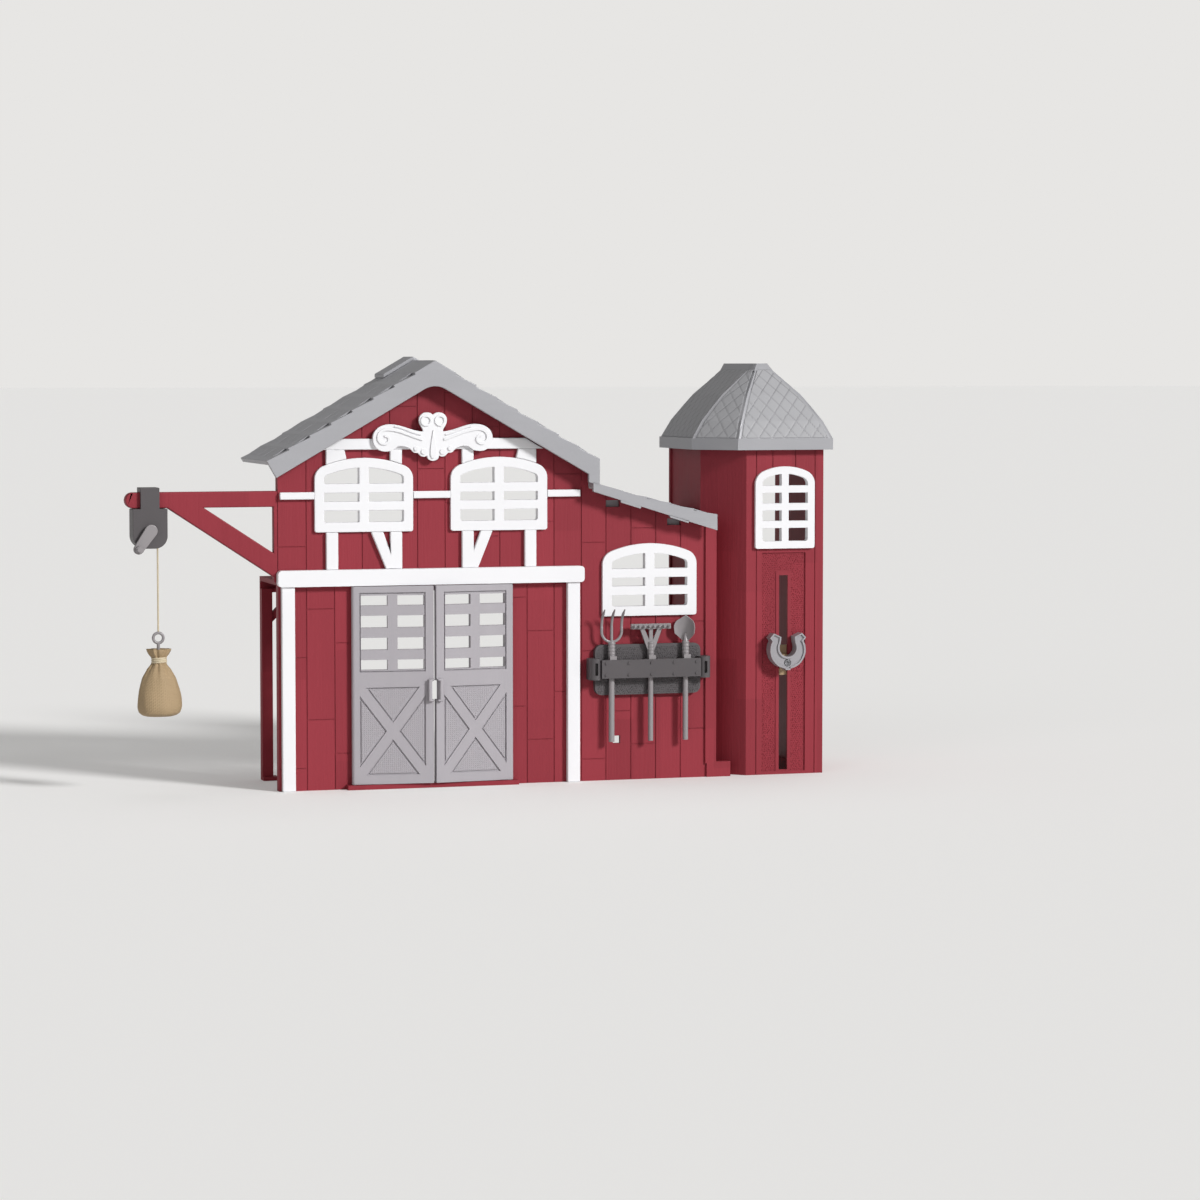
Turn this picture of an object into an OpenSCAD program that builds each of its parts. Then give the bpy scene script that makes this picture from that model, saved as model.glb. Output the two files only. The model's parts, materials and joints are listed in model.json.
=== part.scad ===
// Toy barn with opening doors, a lean-to, a lift silo and a small crane.
// Each module draws one moulded piece. Inside the modules x = 0 is the left edge of the
// main front wall, y = 0 its front face and z = 0 the ground. Millimetres.

/* [Main barn] */
// Width of the main front wall
barn_w = 201; // [190:1:215]
// Height of the roof peak
peak_z = 275; // [268:1:285]
// Pitch of the main roof in degrees
pitch = 30; // [28:0.5:32]
// Depth of the roofs behind the front face of the wall
barn_d = 72; // [66:1:80]
// Thickness of the moulded walls
wall_t = 3; // [2.4:0.1:3.6]
// Depth of the return along the left edge of the front wall
return_d = 7; // [5:0.5:9]
// Width of one wall plank
plank_w = 18.3; // [14:0.1:24]
// Height of the loft floor's underside
loft_z = 131; // [128:0.5:134]
// Thickness of the loft floor
loft_t = 3; // [2:0.1:4]

/* [Roof] */
// Overhang of the main eaves past the walls
eave_over = 9.5; // [8:0.5:14]
// Overhang of the roofs in front of the walls
front_over = 12; // [9:0.5:14]
// Thickness of the roof slabs
slab_t = 3.2; // [2.6:0.1:4]
// Depth of the main barge board, square to the slope
barge_h = 12.5; // [9:0.5:15]
// Thickness of the barge boards
barge_t = 3; // [2:0.1:4]
// Width of the riser between the two roofs, seen from the front
riser_w = 7.5; // [6:0.5:9]
// Lip of each shingle course
course_lip = 1.3; // [0.6:0.1:1.8]
// Courses on each main slope
main_courses = 8; // [6:1:10]
// Courses on the lean-to roof
lean_courses = 5; // [4:1:7]

/* [Lean-to] */
// Width of the lean-to front wall
lean_w = 93; // [88:1:105]
// Top of the lean-to roof beside the riser
lean_top_z = 194.2; // [190:0.5:198]
// Pitch of the lean-to roof in degrees
lean_pitch = 13.9; // [12:0.1:15]
// Width of its corner post
corner_w = 7.5; // [6:0.5:11]
// Height of the foot at the corner
foot_h = 10; // [8:0.5:13]
// How far the foot runs past the corner
foot_out = 10; // [6:0.5:12]

/* [Doors] */
// Width of one door leaf
leaf_w = 53.3; // [50:0.1:55]
// Height of a door leaf
leaf_h = 127.3; // [122:0.1:127.5]
// Thickness of a door leaf
leaf_t = 4; // [3.6:0.1:4.4]
// Gap between the closed leaves
leaf_gap = 1; // [0.6:0.1:1.6]
// Opening of each leaf at rest, in degrees
ajar = 5; // [0:0.5:10]
// Radius of the hinge pins
pin_r = 1.5; // [1.2:0.1:1.7]
// Running clearance round a pin
pin_clear = 0.06; // [0.04:0.01:0.09]
// Height of the door sill
sill_h = 3; // [2.4:0.1:3.2]

/* [White trim] */
// Height of the header beam
header_h = 10.5; // [8:0.5:13]
// Thickness of the header beam
header_t = 5.6; // [5.2:0.1:7]
// Width of the tall posts
post_w = 8.6; // [6:0.1:11]
// Thickness of the tall posts
post_t = 4; // [3:0.1:5]
// Thickness of the loft timbers
timber_t = 3; // [2:0.1:4]
// Width of the loft timbers
timber_w = 7.8; // [6:0.1:10]
// Length of the tie beam
tie_len = 149; // [130:1:152]
// Underside of the tie beam
tie_z = 218; // [216:0.5:220]
// Height of the tie beam
tie_h = 7; // [5:0.5:9]

/* [Windows] */
// Width of an arched barn window
win_w = 64.6; // [58:0.1:68]
// Height of an arched barn window
win_h = 47.4; // [44:0.1:50]
// Distance between the two loft windows
win_pitch = 89.5; // [80:0.5:92]
// Sill height of the loft windows
loft_win_z = 165.4; // [163:0.1:168]
// Sill height of the lean-to window
lean_win_z = 108; // [106:0.1:112]
// Width of the window frames
frame_w = 6.3; // [5:0.1:7.5]
// Width of the glazing bars
bar_w = 5.8; // [4:0.1:7]
// Thickness of the frames in front of the wall
frame_t = 2.5; // [1.5:0.1:3]

/* [Silo] */
// Width of the silo
silo_w = 78.2; // [74:0.1:84]
// Distance from the middle line of its lift slot to its right wall
silo_side = 27.8; // [26:0.1:29.5]
// Depth of the silo
silo_d = 88; // [82:1:94]
// Height of the silo walls
silo_h = 216; // [212:1:220]
// Size of the chamfer on its left front corner
silo_cut = 24; // [20:0.5:27]
// Thickness of the silo walls
silo_t = 2.5; // [2:0.1:3]
// Overhang of the silo roof at the front
silo_over = 6; // [4:0.5:8]
// Overhang of the silo roof at its left
silo_over_left = 8; // [5:0.5:9]
// Overhang of the silo roof at its right
silo_over_right = 4.5; // [3:0.5:7]
// Height of the silo roof above its walls
silo_roof_h = 57; // [50:1:64]
// Width of the lift slot
slot_w = 6; // [5.4:0.1:7]
// Top of the lift slot
slot_top = 132.7; // [128:0.1:136]

/* [Lift] */
// Height of the platform at rest
deck_z = 66; // [64:0.5:70]
// Outer radius of the horseshoe
shoe_r = 12.4; // [11.8:0.1:13]
// Inner radius of the horseshoe
shoe_in = 6; // [5.4:0.1:6.4]

/* [Tool rack] */
// Length of the rack's plate
rack_len = 72.5; // [68:0.5:76]
// Height of the rack's plate
rack_h = 33; // [28:0.5:38]
// Underside of the rack's plate
rack_z = 56.5; // [52:0.5:60]
// Radius of the tool handles
shaft_r = 1.9; // [1.5:0.1:2.1]

/* [Crane] */
// Reach of the crane beam
crane_reach = 97; // [90:1:102]
// Top of the crane beam
beam_z = 192; // [188:0.5:196]
// Height of the crane beam
beam_h = 10; // [8:0.5:12]
// Thickness of the crane beam
beam_t = 8; // [6:0.5:9]
// Width of the strut
strut_w = 12.6; // [9:0.1:14]
// Radius of the winch drum
drum_r = 5; // [4:0.1:6]
// Free length of the hoist rope at rest
rope_len = 64; // [60:1:70]

/* [Hidden] */

$fn = 48;
barn_red = [0.60, 0.20, 0.24];
trim_white = [0.93, 0.92, 0.92];
roof_grey = [0.66, 0.65, 0.66];
door_grey = [0.62, 0.61, 0.63];
rack_grey = [0.27, 0.27, 0.29];
tool_grey = [0.42, 0.42, 0.44];
tan = [0.72, 0.60, 0.42];
steel = [0.7, 0.7, 0.72];

fit = 0.3;              // clearance of pieces that slide or drop into place
snug = 0.15;            // clearance of pieces that stay where they are put
overcut = 1;            // how far a cut runs past the face that it opens
mid = barn_w / 2;

// Main roof
run = mid + eave_over;                              // ridge to eave, level
slope_len = run / cos(pitch);
slab_v = slab_t / cos(pitch);                       // slab thickness measured upright
riser_x = mid + run;                                // outer face of the riser
function roof_top(x) = peak_z - abs(x - mid) * tan(pitch);
function roof_under(x) = roof_top(x) - slab_v;

// Lean-to roof
lean_end = barn_w + lean_w - 3;                     // its right edge, clear of the silo
lean_run = lean_end - riser_x;
lean_slab_v = slab_t / cos(lean_pitch);
lean_barge_left = 6;                                // the board is shallow by the riser
lean_barge_right = 10.5;                            // and deep at the eave
function lean_top(x) = lean_top_z - (x - riser_x) * tan(lean_pitch);
function lean_under(x) = lean_top(x) - lean_slab_v;

// Doors
sill_gap = 0.3;
leaf_z = sill_h + sill_gap;
header_z = max(loft_z, leaf_z + leaf_h + 0.4);
door_span = 2 * leaf_w + leaf_gap;
door_left = mid - door_span / 2;
door_right = mid + door_span / 2;
hinge_in = leaf_t / 2 + 0.2;                        // hinge axis in from the edge of the leaf
hinge_y = -(leaf_t / 2 + 0.7);                      // hinge axis in front of the wall
door_lap = 4;                                       // how far a leaf laps its wall opening
pin_len = 2.6;

// Trim
timber_gap = snug;

// Windows
arch_r = win_w * 1.13;                              // radius over the crown
shoulder_r = 9;                                     // radius at the shoulders
win_lap = 3;                                        // frame lap over the wall hole
win_x = [mid - win_pitch / 2, mid + win_pitch / 2];
lean_win_x = barn_w + lean_w / 2;

// Silo
silo_left = silo_w - silo_side;                     // middle line of the slot to the left wall
silo_x = barn_w + lean_w - 2.7 + silo_left;         // middle line of the slot
silo_win_w = 41.6;
silo_win_h = 54.4;
silo_win_z = silo_h - 65.4;
silo_win_crown = 38;
silo_win_shoulder = 9;
silo_win_lap = 2.2;
panel_w = 30.5;                                     // recessed panel round the slot
panel_top = silo_win_z - 2.9;
panel_in = 1;
surround_w = 10.7;                                  // raised border of the slot
slot_z = 3;
base_t = 2.5;

// Lift
slider_w = 19;
slider_t = 2.6;
rail_t = 2.5;
rail_top = panel_top - 2.7;
deck_t = 2.5;
deck_gap = 1.2;
slider_h = 20;
shoe_gap = 1;                                       // horseshoe in front of the silo wall
shoe_t = 8;
shoe_z = deck_z + 17.5;                             // centre of the horseshoe
neck_z = deck_z + 4;
neck_h = 10;
screw_z = neck_z + neck_h / 2;

// Tool rack
rack_t = 4;
rack_gap = 5.2;                                     // slot that the tool handles drop through
rack_bar_t = 3;
rivet_t = 0.6;
rack_bar_h = 12;
rack_x = lean_win_x - 1.7;                          // centre of the rack
rack_bar_len = rack_len - 4.5;
rack_bar_z = rack_z + 11.5;
rack_bar_top = rack_bar_z + rack_bar_h;
tool_y = -(rack_t + rack_gap / 2);
tool_out = [-25.8, 1, 25];                          // the handles beside the rack's middle
tool_x = [for (d = tool_out) rack_x + d];
tool_drop = 54;                                     // how far the handles hang below the bar
tool_neck = 12;                                     // heads start this far above the bar
tool_slot_w = 2 * shaft_r + 1.4;
tine_r = 0.95;
tine_bend = 12;                                     // radius of the forward curve of the fork's tines
tine_turn = 50;
tine_tip = 4;

// Crane
crane_y = 0.5;                                      // front face of the beam
crane_mid = crane_y + beam_t / 2;
crane_plate_t = 2.4;
crane_foot_z = 135.8;                               // foot of the strut on the wall
strut_tilt = 33.3;
drum_x = -crane_reach + 15;
drum_z = beam_z - beam_h - 14;
drum_len = 9;
housing_w = 22;
housing_h = 25;
cheek_t = 2.6;
cheek_gap = 0.3;
rope_r = 0.6;
rope_x = drum_x + drum_r + rope_r + 0.05;         // the rope leaves the drum on its inner side
rope_bottom = drum_z - rope_len;
sack_h = 44;
crank_turn = 235;                                   // direction of the crank arm at rest
crank_len = 14;
crank_t = 2.4;
knob_len = 6;
shaft_stub = 1.6;
crank_front = crane_y - cheek_gap - cheek_t - shaft_stub;   // back face of the crank arm

// The frame: the whole set stands centred over the origin
left_reach = -crane_reach;
right_reach = silo_x + silo_side + silo_over_right;
rack_reach = rack_t + rack_gap + rack_bar_t + rivet_t;
knob_reach = -(crank_front - crank_t - knob_len);
tine_reach = rack_t + rack_gap / 2 + tine_bend * (1 - cos(tine_turn)) + tine_tip * sin(tine_turn)
    + 0.4 * cos(tine_turn);
front_reach = max(front_over, rack_reach, knob_reach, tine_reach, shoe_gap + shoe_t);
center_x = (left_reach + right_reach) / 2;
center_y = (silo_d - front_reach) / 2;

module placed() {
    translate([-center_x, -center_y, 0]) children();
}

// A flat outline in the x-z plane, given thickness t back from y
module upright(t, y = 0) {
    translate([0, y + t, 0]) rotate([90, 0, 0]) linear_extrude(t) children();
}

// An outline in the y-z plane, given thickness t to the right from x
module sideways(t, x = 0) {
    translate([x, 0, 0]) rotate([90, 0, 90]) linear_extrude(t) children();
}

// A round bar along y
module rod_y(r, len, x, y, z) {
    translate([x, y + len, z]) rotate([90, 0, 0]) cylinder(r = r, h = len);
}

// A flat bar between two points of an outline
module bar(p, q, w) {
    len = norm(q - p);
    translate(p) rotate(atan2(q[1] - p[1], q[0] - p[0])) translate([0, -w / 2]) square([len, w]);
}

function reversed(list) = [for (i = [len(list) - 1 : -1 : 0]) list[i]];
function mirrored(list) = [for (p = reversed(list)) [-p[0], p[1]]];
function moved(list, d) = [for (p = list) p + d];
function arc(c, r, a0, a1, n) = [for (i = [0 : n]) let (a = a0 + (a1 - a0) * i / n) c + r * [cos(a), sin(a)]];
function bezier(a, b, c, d, n) =
    [for (i = [0 : n]) let (t = i / n, s = 1 - t) a * s * s * s + 3 * b * s * s * t + 3 * c * s * t * t + d * t * t * t];

// Basket arch standing on z = 0, moved in by d all round
function basket_arch(w, h, crown, shoulder, d = 0) =
    let (cx = w / 2 - shoulder,
         low = h - crown,
         cz = low + sqrt(pow(crown - shoulder, 2) - cx * cx),
         turn = atan2(cz - low, cx),
         base = 1.5,
         right = concat(arc([w / 2 - d - base, d + base], base, -90, 0, 4),
                        arc([cx, cz], shoulder - d, 0, turn, 6),
                        arc([0, low], crown - d, turn, 90, 8)))
    concat(right, mirrored(right));

// Solid through rings that have equal numbers of points
function middle(ring) = [for (a = [0 : 2]) let (c = [for (p = ring) p[a]]) (max(c) + min(c)) / 2];
module loft(rings) {
    n = len(rings[0]);
    m = len(rings);
    points = concat([for (ring = rings) each ring], [middle(rings[0]), middle(rings[m - 1])]);
    sides = [for (k = [0 : m - 2], i = [0 : n - 1]) let (j = (i + 1) % n)
        each [[k * n + i, (k + 1) * n + i, (k + 1) * n + j], [k * n + i, (k + 1) * n + j, k * n + j]]];
    low = [for (i = [0 : n - 1]) [m * n, i, (i + 1) % n]];
    high = [for (i = [0 : n - 1]) [m * n + 1, (m - 1) * n + (i + 1) % n, (m - 1) * n + i]];
    polyhedron(points, concat(sides, low, high));
}

// ---- walls ----

// Vertical seams and staggered butt joints of the planks, cut into the face at y = 0
seam_w = 0.7;
seam_in = 0.5;
butt_pitch = 71;
module plank_seams(x0, x1, top, y = 0) {
    count = round((x1 - x0) / plank_w);
    step = (x1 - x0) / count;
    for (i = [1 : count - 1])
        translate([x0 + i * step - seam_w / 2, y - overcut, -overcut])
            cube([seam_w, overcut + seam_in, top + 2 * overcut]);
    for (i = [0 : count - 1], k = [0 : floor(top / butt_pitch)])
        translate([x0 + i * step, y - overcut, 14 + (i * 31) % 53 + k * butt_pitch])
            cube([step, overcut + seam_in, seam_w]);
}

boss_r = 3;
boss_h = 3.2;
screw_r = 1.2;
screw_zs = [24, 96, 176];
flange_w = 10;
module front_wall() {
    ear = riser_x - slab_t - snug;                  // the wall runs on over the lean-to roof to the riser
    outline = [[0, 0], [barn_w, 0], [barn_w, lean_top(barn_w) + snug], [ear, lean_top(ear) + snug],
        [ear, roof_under(ear)], [mid, roof_under(mid)], [0, roof_under(0)]];
    placed() color(barn_red) difference() {
        union() {
            upright(wall_t) polygon(outline);
            sideways(silo_t) polygon([[0, 0], [return_d, 0], [return_d, roof_under(0)], [0, roof_under(0)]]);
        }
        upright(wall_t + 2 * overcut, -overcut) difference() {
            translate([door_left + door_lap, -overcut])
                square([door_span - 2 * door_lap, header_z - door_lap + overcut]);
            translate([door_left, -overcut]) square([door_span, sill_h + overcut]);
        }
        for (x = win_x)
            upright(wall_t + 2 * overcut, -overcut)
                translate([x, loft_win_z]) polygon(basket_arch(win_w, win_h, arch_r, shoulder_r, win_lap));
        intersection() {
            plank_seams(0, barn_w, peak_z);
            upright(2 * overcut + seam_in, -2 * overcut) polygon(outline);
        }
        translate([barn_w, -overcut, lean_top_z]) cube([seam_w, overcut + seam_in, barn_w]);
        for (z = screw_zs)
            rod_y(screw_r + snug / 2, 2.2, barn_w - wall_t - flange_w / 2, wall_t - 2.2, z);
    }
}

// Clip slots of the lean-to roof
clip_w = 9.5;
clip_h = 4.4;
clip_x = [barn_w + 22, barn_w + 64];
clip_in = wall_t - 0.8;                             // how far the hooks stay behind the face
// The slots show below the barge board, which deepens towards the eave
function clip_low(x) = lean_top(x) - lean_barge_left - (lean_barge_right - lean_barge_left) * (x - barn_w) / lean_w - 4.6;
corner_t = 1.5;
peg_hole = 5;
module lean_wall() {
    x1 = barn_w + lean_w;
    outline = [[barn_w, 0], [x1, 0], [x1, lean_under(x1)], [barn_w, lean_under(barn_w)]];
    chamfer_x = silo_x - silo_left + silo_cut;      // where the silo's chamfer meets y = 0
    placed() color(barn_red) difference() {
        union() {
            upright(wall_t) polygon(outline);
            upright(corner_t + seam_in, -corner_t) polygon([[x1 - corner_w, foot_h - 1], [x1, foot_h - 1],
                [x1, lean_under(x1) - lean_barge_right / 3], [x1 - corner_w, lean_under(x1) - lean_barge_right / 3]]);
            translate([x1 - corner_w + 1, -corner_t, 0]) cube([corner_w - 1 + foot_out, corner_t + wall_t, foot_h]);
            linear_extrude(lean_under(x1)) polygon([[x1 - silo_t, 0], [x1, 0], [x1, chamfer_x - x1],
                [x1 - silo_t, chamfer_x - x1 + silo_t]]);
        }
        upright(wall_t + 2 * overcut, -overcut)
            translate([lean_win_x, lean_win_z]) polygon(basket_arch(win_w, win_h, arch_r, shoulder_r, win_lap));
        intersection() {
            plank_seams(barn_w, x1 - corner_w, lean_under(barn_w));
            upright(2 * overcut + seam_in, -2 * overcut) polygon(outline);
        }
        translate([barn_w - overcut, -overcut, -overcut])
            cube([seam_w + overcut, overcut + seam_in, lean_top_z + 2 * overcut]);
        for (x = clip_x)
            translate([x - clip_w / 2, -overcut, clip_low(x)])
                cube([clip_w, wall_t + 2 * overcut, clip_h]);
        translate([tool_x[0] + 3, -overcut, 24.2]) cube([peg_hole, wall_t + 2 * overcut, peg_hole]);
        for (side = [-1, 1])
            rod_y(screw_r + snug, wall_t + 2 * overcut, rack_x + side * 14, -overcut, rack_z + 4);
    }
}

doorway_w = 36;
doorway_h = 96;
module partition_wall() {
    x0 = barn_w - wall_t;
    back = barn_d - 1;
    low_top = roof_under(barn_w);
    placed() color(barn_red) difference() {
        union() {
            translate([x0, wall_t, 0]) cube([wall_t, back - wall_t, low_top]);
            translate([x0 - flange_w, wall_t, 0]) cube([flange_w, silo_t, low_top]);
            translate([x0 - flange_w / 2, back - silo_t, 0]) cube([flange_w / 2, silo_t, loft_z]);
            translate([x0 - 4, wall_t, loft_z - silo_t]) cube([4, back - wall_t, silo_t]);
        }
        sideways(wall_t + 2 * overcut, x0 - overcut)
            translate([barn_d / 2 + 2, -overcut]) {
                translate([-doorway_w / 2, 0]) square([doorway_w, doorway_h - doorway_w / 2 + overcut]);
                translate([0, doorway_h - doorway_w / 2 + overcut]) circle(d = doorway_w);
            }
        for (z = screw_zs)
            rod_y(screw_r + snug, silo_t + 2 * overcut, x0 - flange_w / 2, wall_t - overcut, z);
    }
}

module loft_floor() {
    x0 = silo_t;
    x1 = barn_w - wall_t;
    back = barn_d - 1;
    placed() color(barn_red) difference() {
        union() {
            translate([x0, wall_t, loft_z]) cube([x1 - x0, back - wall_t, loft_t]);
            translate([x0, back - silo_t, loft_z - 5]) cube([x1 - x0 - flange_w / 2 - fit, silo_t, 5 + loft_t]);
        }
        // the partition's front flange passes through the floor
        translate([x1 - flange_w - fit, wall_t - overcut, loft_z - overcut])
            cube([flange_w + fit + overcut, silo_t + fit + overcut, loft_t + 2 * overcut]);
        for (k = [1 : 3])
            translate([x0 - overcut, k * barn_d / 4, loft_z + loft_t - seam_in]) cube([barn_w, seam_w, overcut]);
    }
}

leg = 7;
module loft_post() {
    top = loft_z - 5;
    y0 = barn_d - 1 - leg;
    placed() color(barn_red) {
        translate([silo_t, y0, 0]) cube([leg, leg, top]);
        translate([silo_t, y0 - 3, 0]) cube([leg + 3, leg + 3, 2.5]);
        upright(leg - 2, y0 + 1) polygon([[silo_t + leg, top - 22], [silo_t + leg, top - 16],
            [silo_t + leg + 16, top], [silo_t + leg + 22, top]]);
        upright(leg - 2, y0 + 1) polygon([[silo_t + leg, top - 2.5], [silo_t + leg, top],
            [silo_t + leg + 16, top], [silo_t + leg + 16, top - 2.5]]);
    }
}

// ---- roofs ----

// Points down one stepped slope, level run first, with a lip at the foot of each course
function courses(origin, angle, len, count, lip) =
    let (down = [cos(angle), -sin(angle)], out = [sin(angle), cos(angle)], c = len / count)
    [for (i = [0 : count - 1])
        each [origin + down * i * c - out * (i == 0 ? 0 : lip), origin + down * (i + 1) * c]];

right_slope = courses([mid, peak_z], pitch, slope_len, main_courses, course_lip);
left_slope = [for (p = reversed(right_slope)) [2 * mid - p[0], p[1]]];
module main_roof() {
    drop = [sin(pitch), cos(pitch)];
    eave = right_slope[len(right_slope) - 1];
    left_eave = left_slope[0];
    inner = riser_x - riser_w;
    barge_v = barge_h / cos(pitch);
    arch = 14;                                      // radius under the peak of the barge board
    low_apex = peak_z - barge_v;
    slab = concat(left_slope, right_slope, [[eave[0], eave[1] - slab_v], [mid, peak_z - slab_v],
        [left_eave[0] + slab_t * drop[0], left_eave[1] - slab_t * drop[1]]]);
    barge = concat(left_slope, right_slope, [[eave[0], lean_top(eave[0])], [inner, lean_top(inner)],
        [inner, roof_top(inner) - barge_v], [mid, low_apex],
        [left_eave[0] + barge_h * drop[0], left_eave[1] - barge_h * drop[1]]]);
    placed() color(roof_grey) {
        upright(front_over + barn_d, -front_over) polygon(slab);
        upright(front_over + barn_d, -front_over)
            polygon([[riser_x - slab_t, roof_under(inner)], [riser_x - slab_t, lean_top(riser_x - slab_t)],
                [riser_x, lean_top(riser_x)], [riser_x, eave[1] - slab_v / 2]]);
        upright(barge_t, -front_over) polygon(barge);
        upright(barge_t, -front_over) difference() {
            polygon([[mid, low_apex], [mid - arch * sin(pitch), low_apex - arch * sin(pitch) * tan(pitch)],
                [mid, low_apex - arch / cos(pitch)],
                [mid + arch * sin(pitch), low_apex - arch * sin(pitch) * tan(pitch)]]);
            translate([mid, low_apex - arch / cos(pitch)]) circle(arch);
        }
    }
}

module lean_roof() {
    len = lean_run / cos(lean_pitch);
    steps = courses([riser_x, lean_top_z], lean_pitch, len, lean_courses, course_lip);
    eave = steps[len(steps) - 1];
    x0 = barn_w;
    slab = concat([[x0, lean_top(x0)]], steps, [[eave[0], eave[1] - lean_slab_v], [x0, lean_under(x0)]]);
    barge_x = riser_x - riser_w;
    barge = concat([[barge_x, lean_top(barge_x)]], steps,
        [[eave[0], eave[1] - lean_barge_right], [barge_x, lean_top(barge_x) - lean_barge_left]]);
    placed() color(roof_grey) {
        difference() {
            upright(front_over + barn_d, -front_over) polygon(slab);
            translate([x0 - overcut, -front_over - overcut, lean_top_z - 2 * slab_t])
                cube([barge_x - x0 + overcut, front_over + overcut - snug, barn_d]);
        }
        upright(barge_t, -front_over) polygon(barge);
        // hooks that reach into the slots of the wall
        for (x = clip_x) {
            low = clip_low(x) + fit;
            high = lean_under(x + clip_w / 2);
            translate([x - clip_w / 2 + fit, wall_t + snug, low]) cube([clip_w - 2 * fit, 1.8, high - low + 1]);
            translate([x - clip_w / 2 + fit, clip_in, low])
                cube([clip_w - 2 * fit, wall_t - clip_in + snug, clip_h - 2 * fit]);
        }
    }
}

cap_half = 20;
cap_t = 2.6;
cap_y = 47;
module ridge_cap() {
    foot = cap_half;
    // the saddle bears on the lips of the first courses
    placed() color(roof_grey)
        upright(barn_d - cap_y, cap_y) polygon([[mid - foot, roof_top(mid - foot)], [mid, peak_z],
            [mid + foot, roof_top(mid + foot)], [mid + foot, roof_top(mid + foot) + cap_t],
            [mid, peak_z + cap_t], [mid - foot, roof_top(mid - foot) + cap_t]]);
}

// ---- white trim ----

header_over = 1;
header_round = 2.5;
module header_beam() {
    x0 = -header_over;
    x1 = barn_w + header_over;
    placed() color(trim_white) difference() {
        upright(header_t, -header_t) polygon(concat(
            arc([x1 - header_round, header_z + header_round], header_round, -90, 0, 6),
            arc([x1 - header_round, header_z + header_h - header_round], header_round, 0, 90, 6),
            arc([x0 + header_round, header_z + header_h - header_round], header_round, 90, 180, 6),
            arc([x0 + header_round, header_z + header_round], header_round, 180, 270, 6)));
        for (x = [door_left + hinge_in, door_right - hinge_in])
            translate([x, hinge_y, header_z - overcut]) cylinder(r = pin_r + pin_clear, h = pin_len + 1 + overcut);
    }
}

module tall_post(x) {
    translate([x - post_w / 2, -post_t, 0]) cube([post_w, post_t, header_z]);
}
post_in = 5.8;
module left_post() {
    placed() color(trim_white) tall_post(post_in);
}
module right_post() {
    placed() color(trim_white) tall_post(barn_w - post_in);
}

module tie_beam() {
    half = tie_len / 2;
    placed() color(trim_white) upright(timber_t, -timber_t)
        polygon([[mid - half, tie_z], [mid + half, tie_z],
            [mid + half - tie_h / tan(pitch), tie_z + tie_h], [mid - half + tie_h / tan(pitch), tie_z + tie_h]]);
}

module window_shadow(x) {
    translate([x, loft_win_z])
        polygon(basket_arch(win_w, win_h, arch_r, shoulder_r, -timber_gap));
}

rail_z = loft_win_z + 21.2;
rail_h = 4.6;
module mid_rail() {
    placed() color(trim_white) upright(timber_t, -timber_t) difference() {
        translate([1, rail_z]) square([barn_w - 2, rail_h]);
        for (x = win_x) window_shadow(x);
    }
}

// Battens above and below one loft window, with the leaning brace under it
batten_in = 21;
module timbers(x, lean) {
    low = header_z + header_h;
    foot_x = x - lean * (batten_in - 4 - timber_w / 2);
    upright(timber_t, -timber_t) difference() {
        union() {
            for (side = [-1, 1])
                translate([x + side * batten_in - timber_w / 2, low]) square([timber_w, tie_z - low]);
            // brace below the window, leaning towards the middle of the wall
            polygon([[x + lean * (batten_in + 0.2), low], [x + lean * (batten_in - 6.8), low],
                [x + lean * 4, loft_win_z + 1], [x + lean * 12, loft_win_z + 1]]);
            // brace above the window, beside the outer batten
            polygon([[x - lean * batten_in, tie_z], [x - lean * (batten_in - 8.2), tie_z],
                [x - lean * (batten_in - 10.2), loft_win_z + win_h - 3], [x - lean * batten_in, loft_win_z + win_h - 9]]);
        }
        window_shadow(x);
    }
}
module left_timbers() {
    placed() color(trim_white) timbers(win_x[0], 1);
}
module right_timbers() {
    placed() color(trim_white) timbers(win_x[1], -1);
}

// Carved scroll over the tie beam: two wings that curl up at their ends, a trefoil and a palmette
scroll_z = tie_z + 4;
scroll_t = 2.6;
relief = 0.9;
curl = [31.6, 3.2];                                 // centre of a curl, from the scroll's middle
curl_r = 5.6;
function tail(list) = [for (i = [1 : len(list) - 1]) list[i]];
function arc(c, r, from, to, n) = [for (i = [0 : n]) let (a = from + (to - from) * i / n) c + r * [cos(a), sin(a)]];
// A right half that starts and ends on x = 0, closed by its mirror image
function both(half) = concat(half, [for (i = [len(half) - 2 : -1 : 1]) [-half[i][0], half[i][1]]]);
// Spiral that winds out of the curl and runs along the wing to the middle
function curl_path() = concat(
    [for (i = [0 : 20]) let (a = -290 + 380 * i / 20, r = 1.2 + (curl_r - 1.2) * i / 20) curl + r * [cos(a), sin(a)]],
    tail(bezier(curl + [0, curl_r], curl + [-8, curl_r + 0.6], [17, 5.4], [7, 2.4], 12)));
function band(path, half) =
    let (n = len(path) - 1,
         dir = [for (i = [0 : n]) path[min(i + 1, n)] - path[max(i - 1, 0)]],
         side = [for (i = [0 : n]) [-dir[i][1], dir[i][0]] / norm(dir[i]) * half])
    concat([for (i = [0 : n]) path[i] + side[i]], [for (i = [n : -1 : 0]) path[i] - side[i]]);
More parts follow.
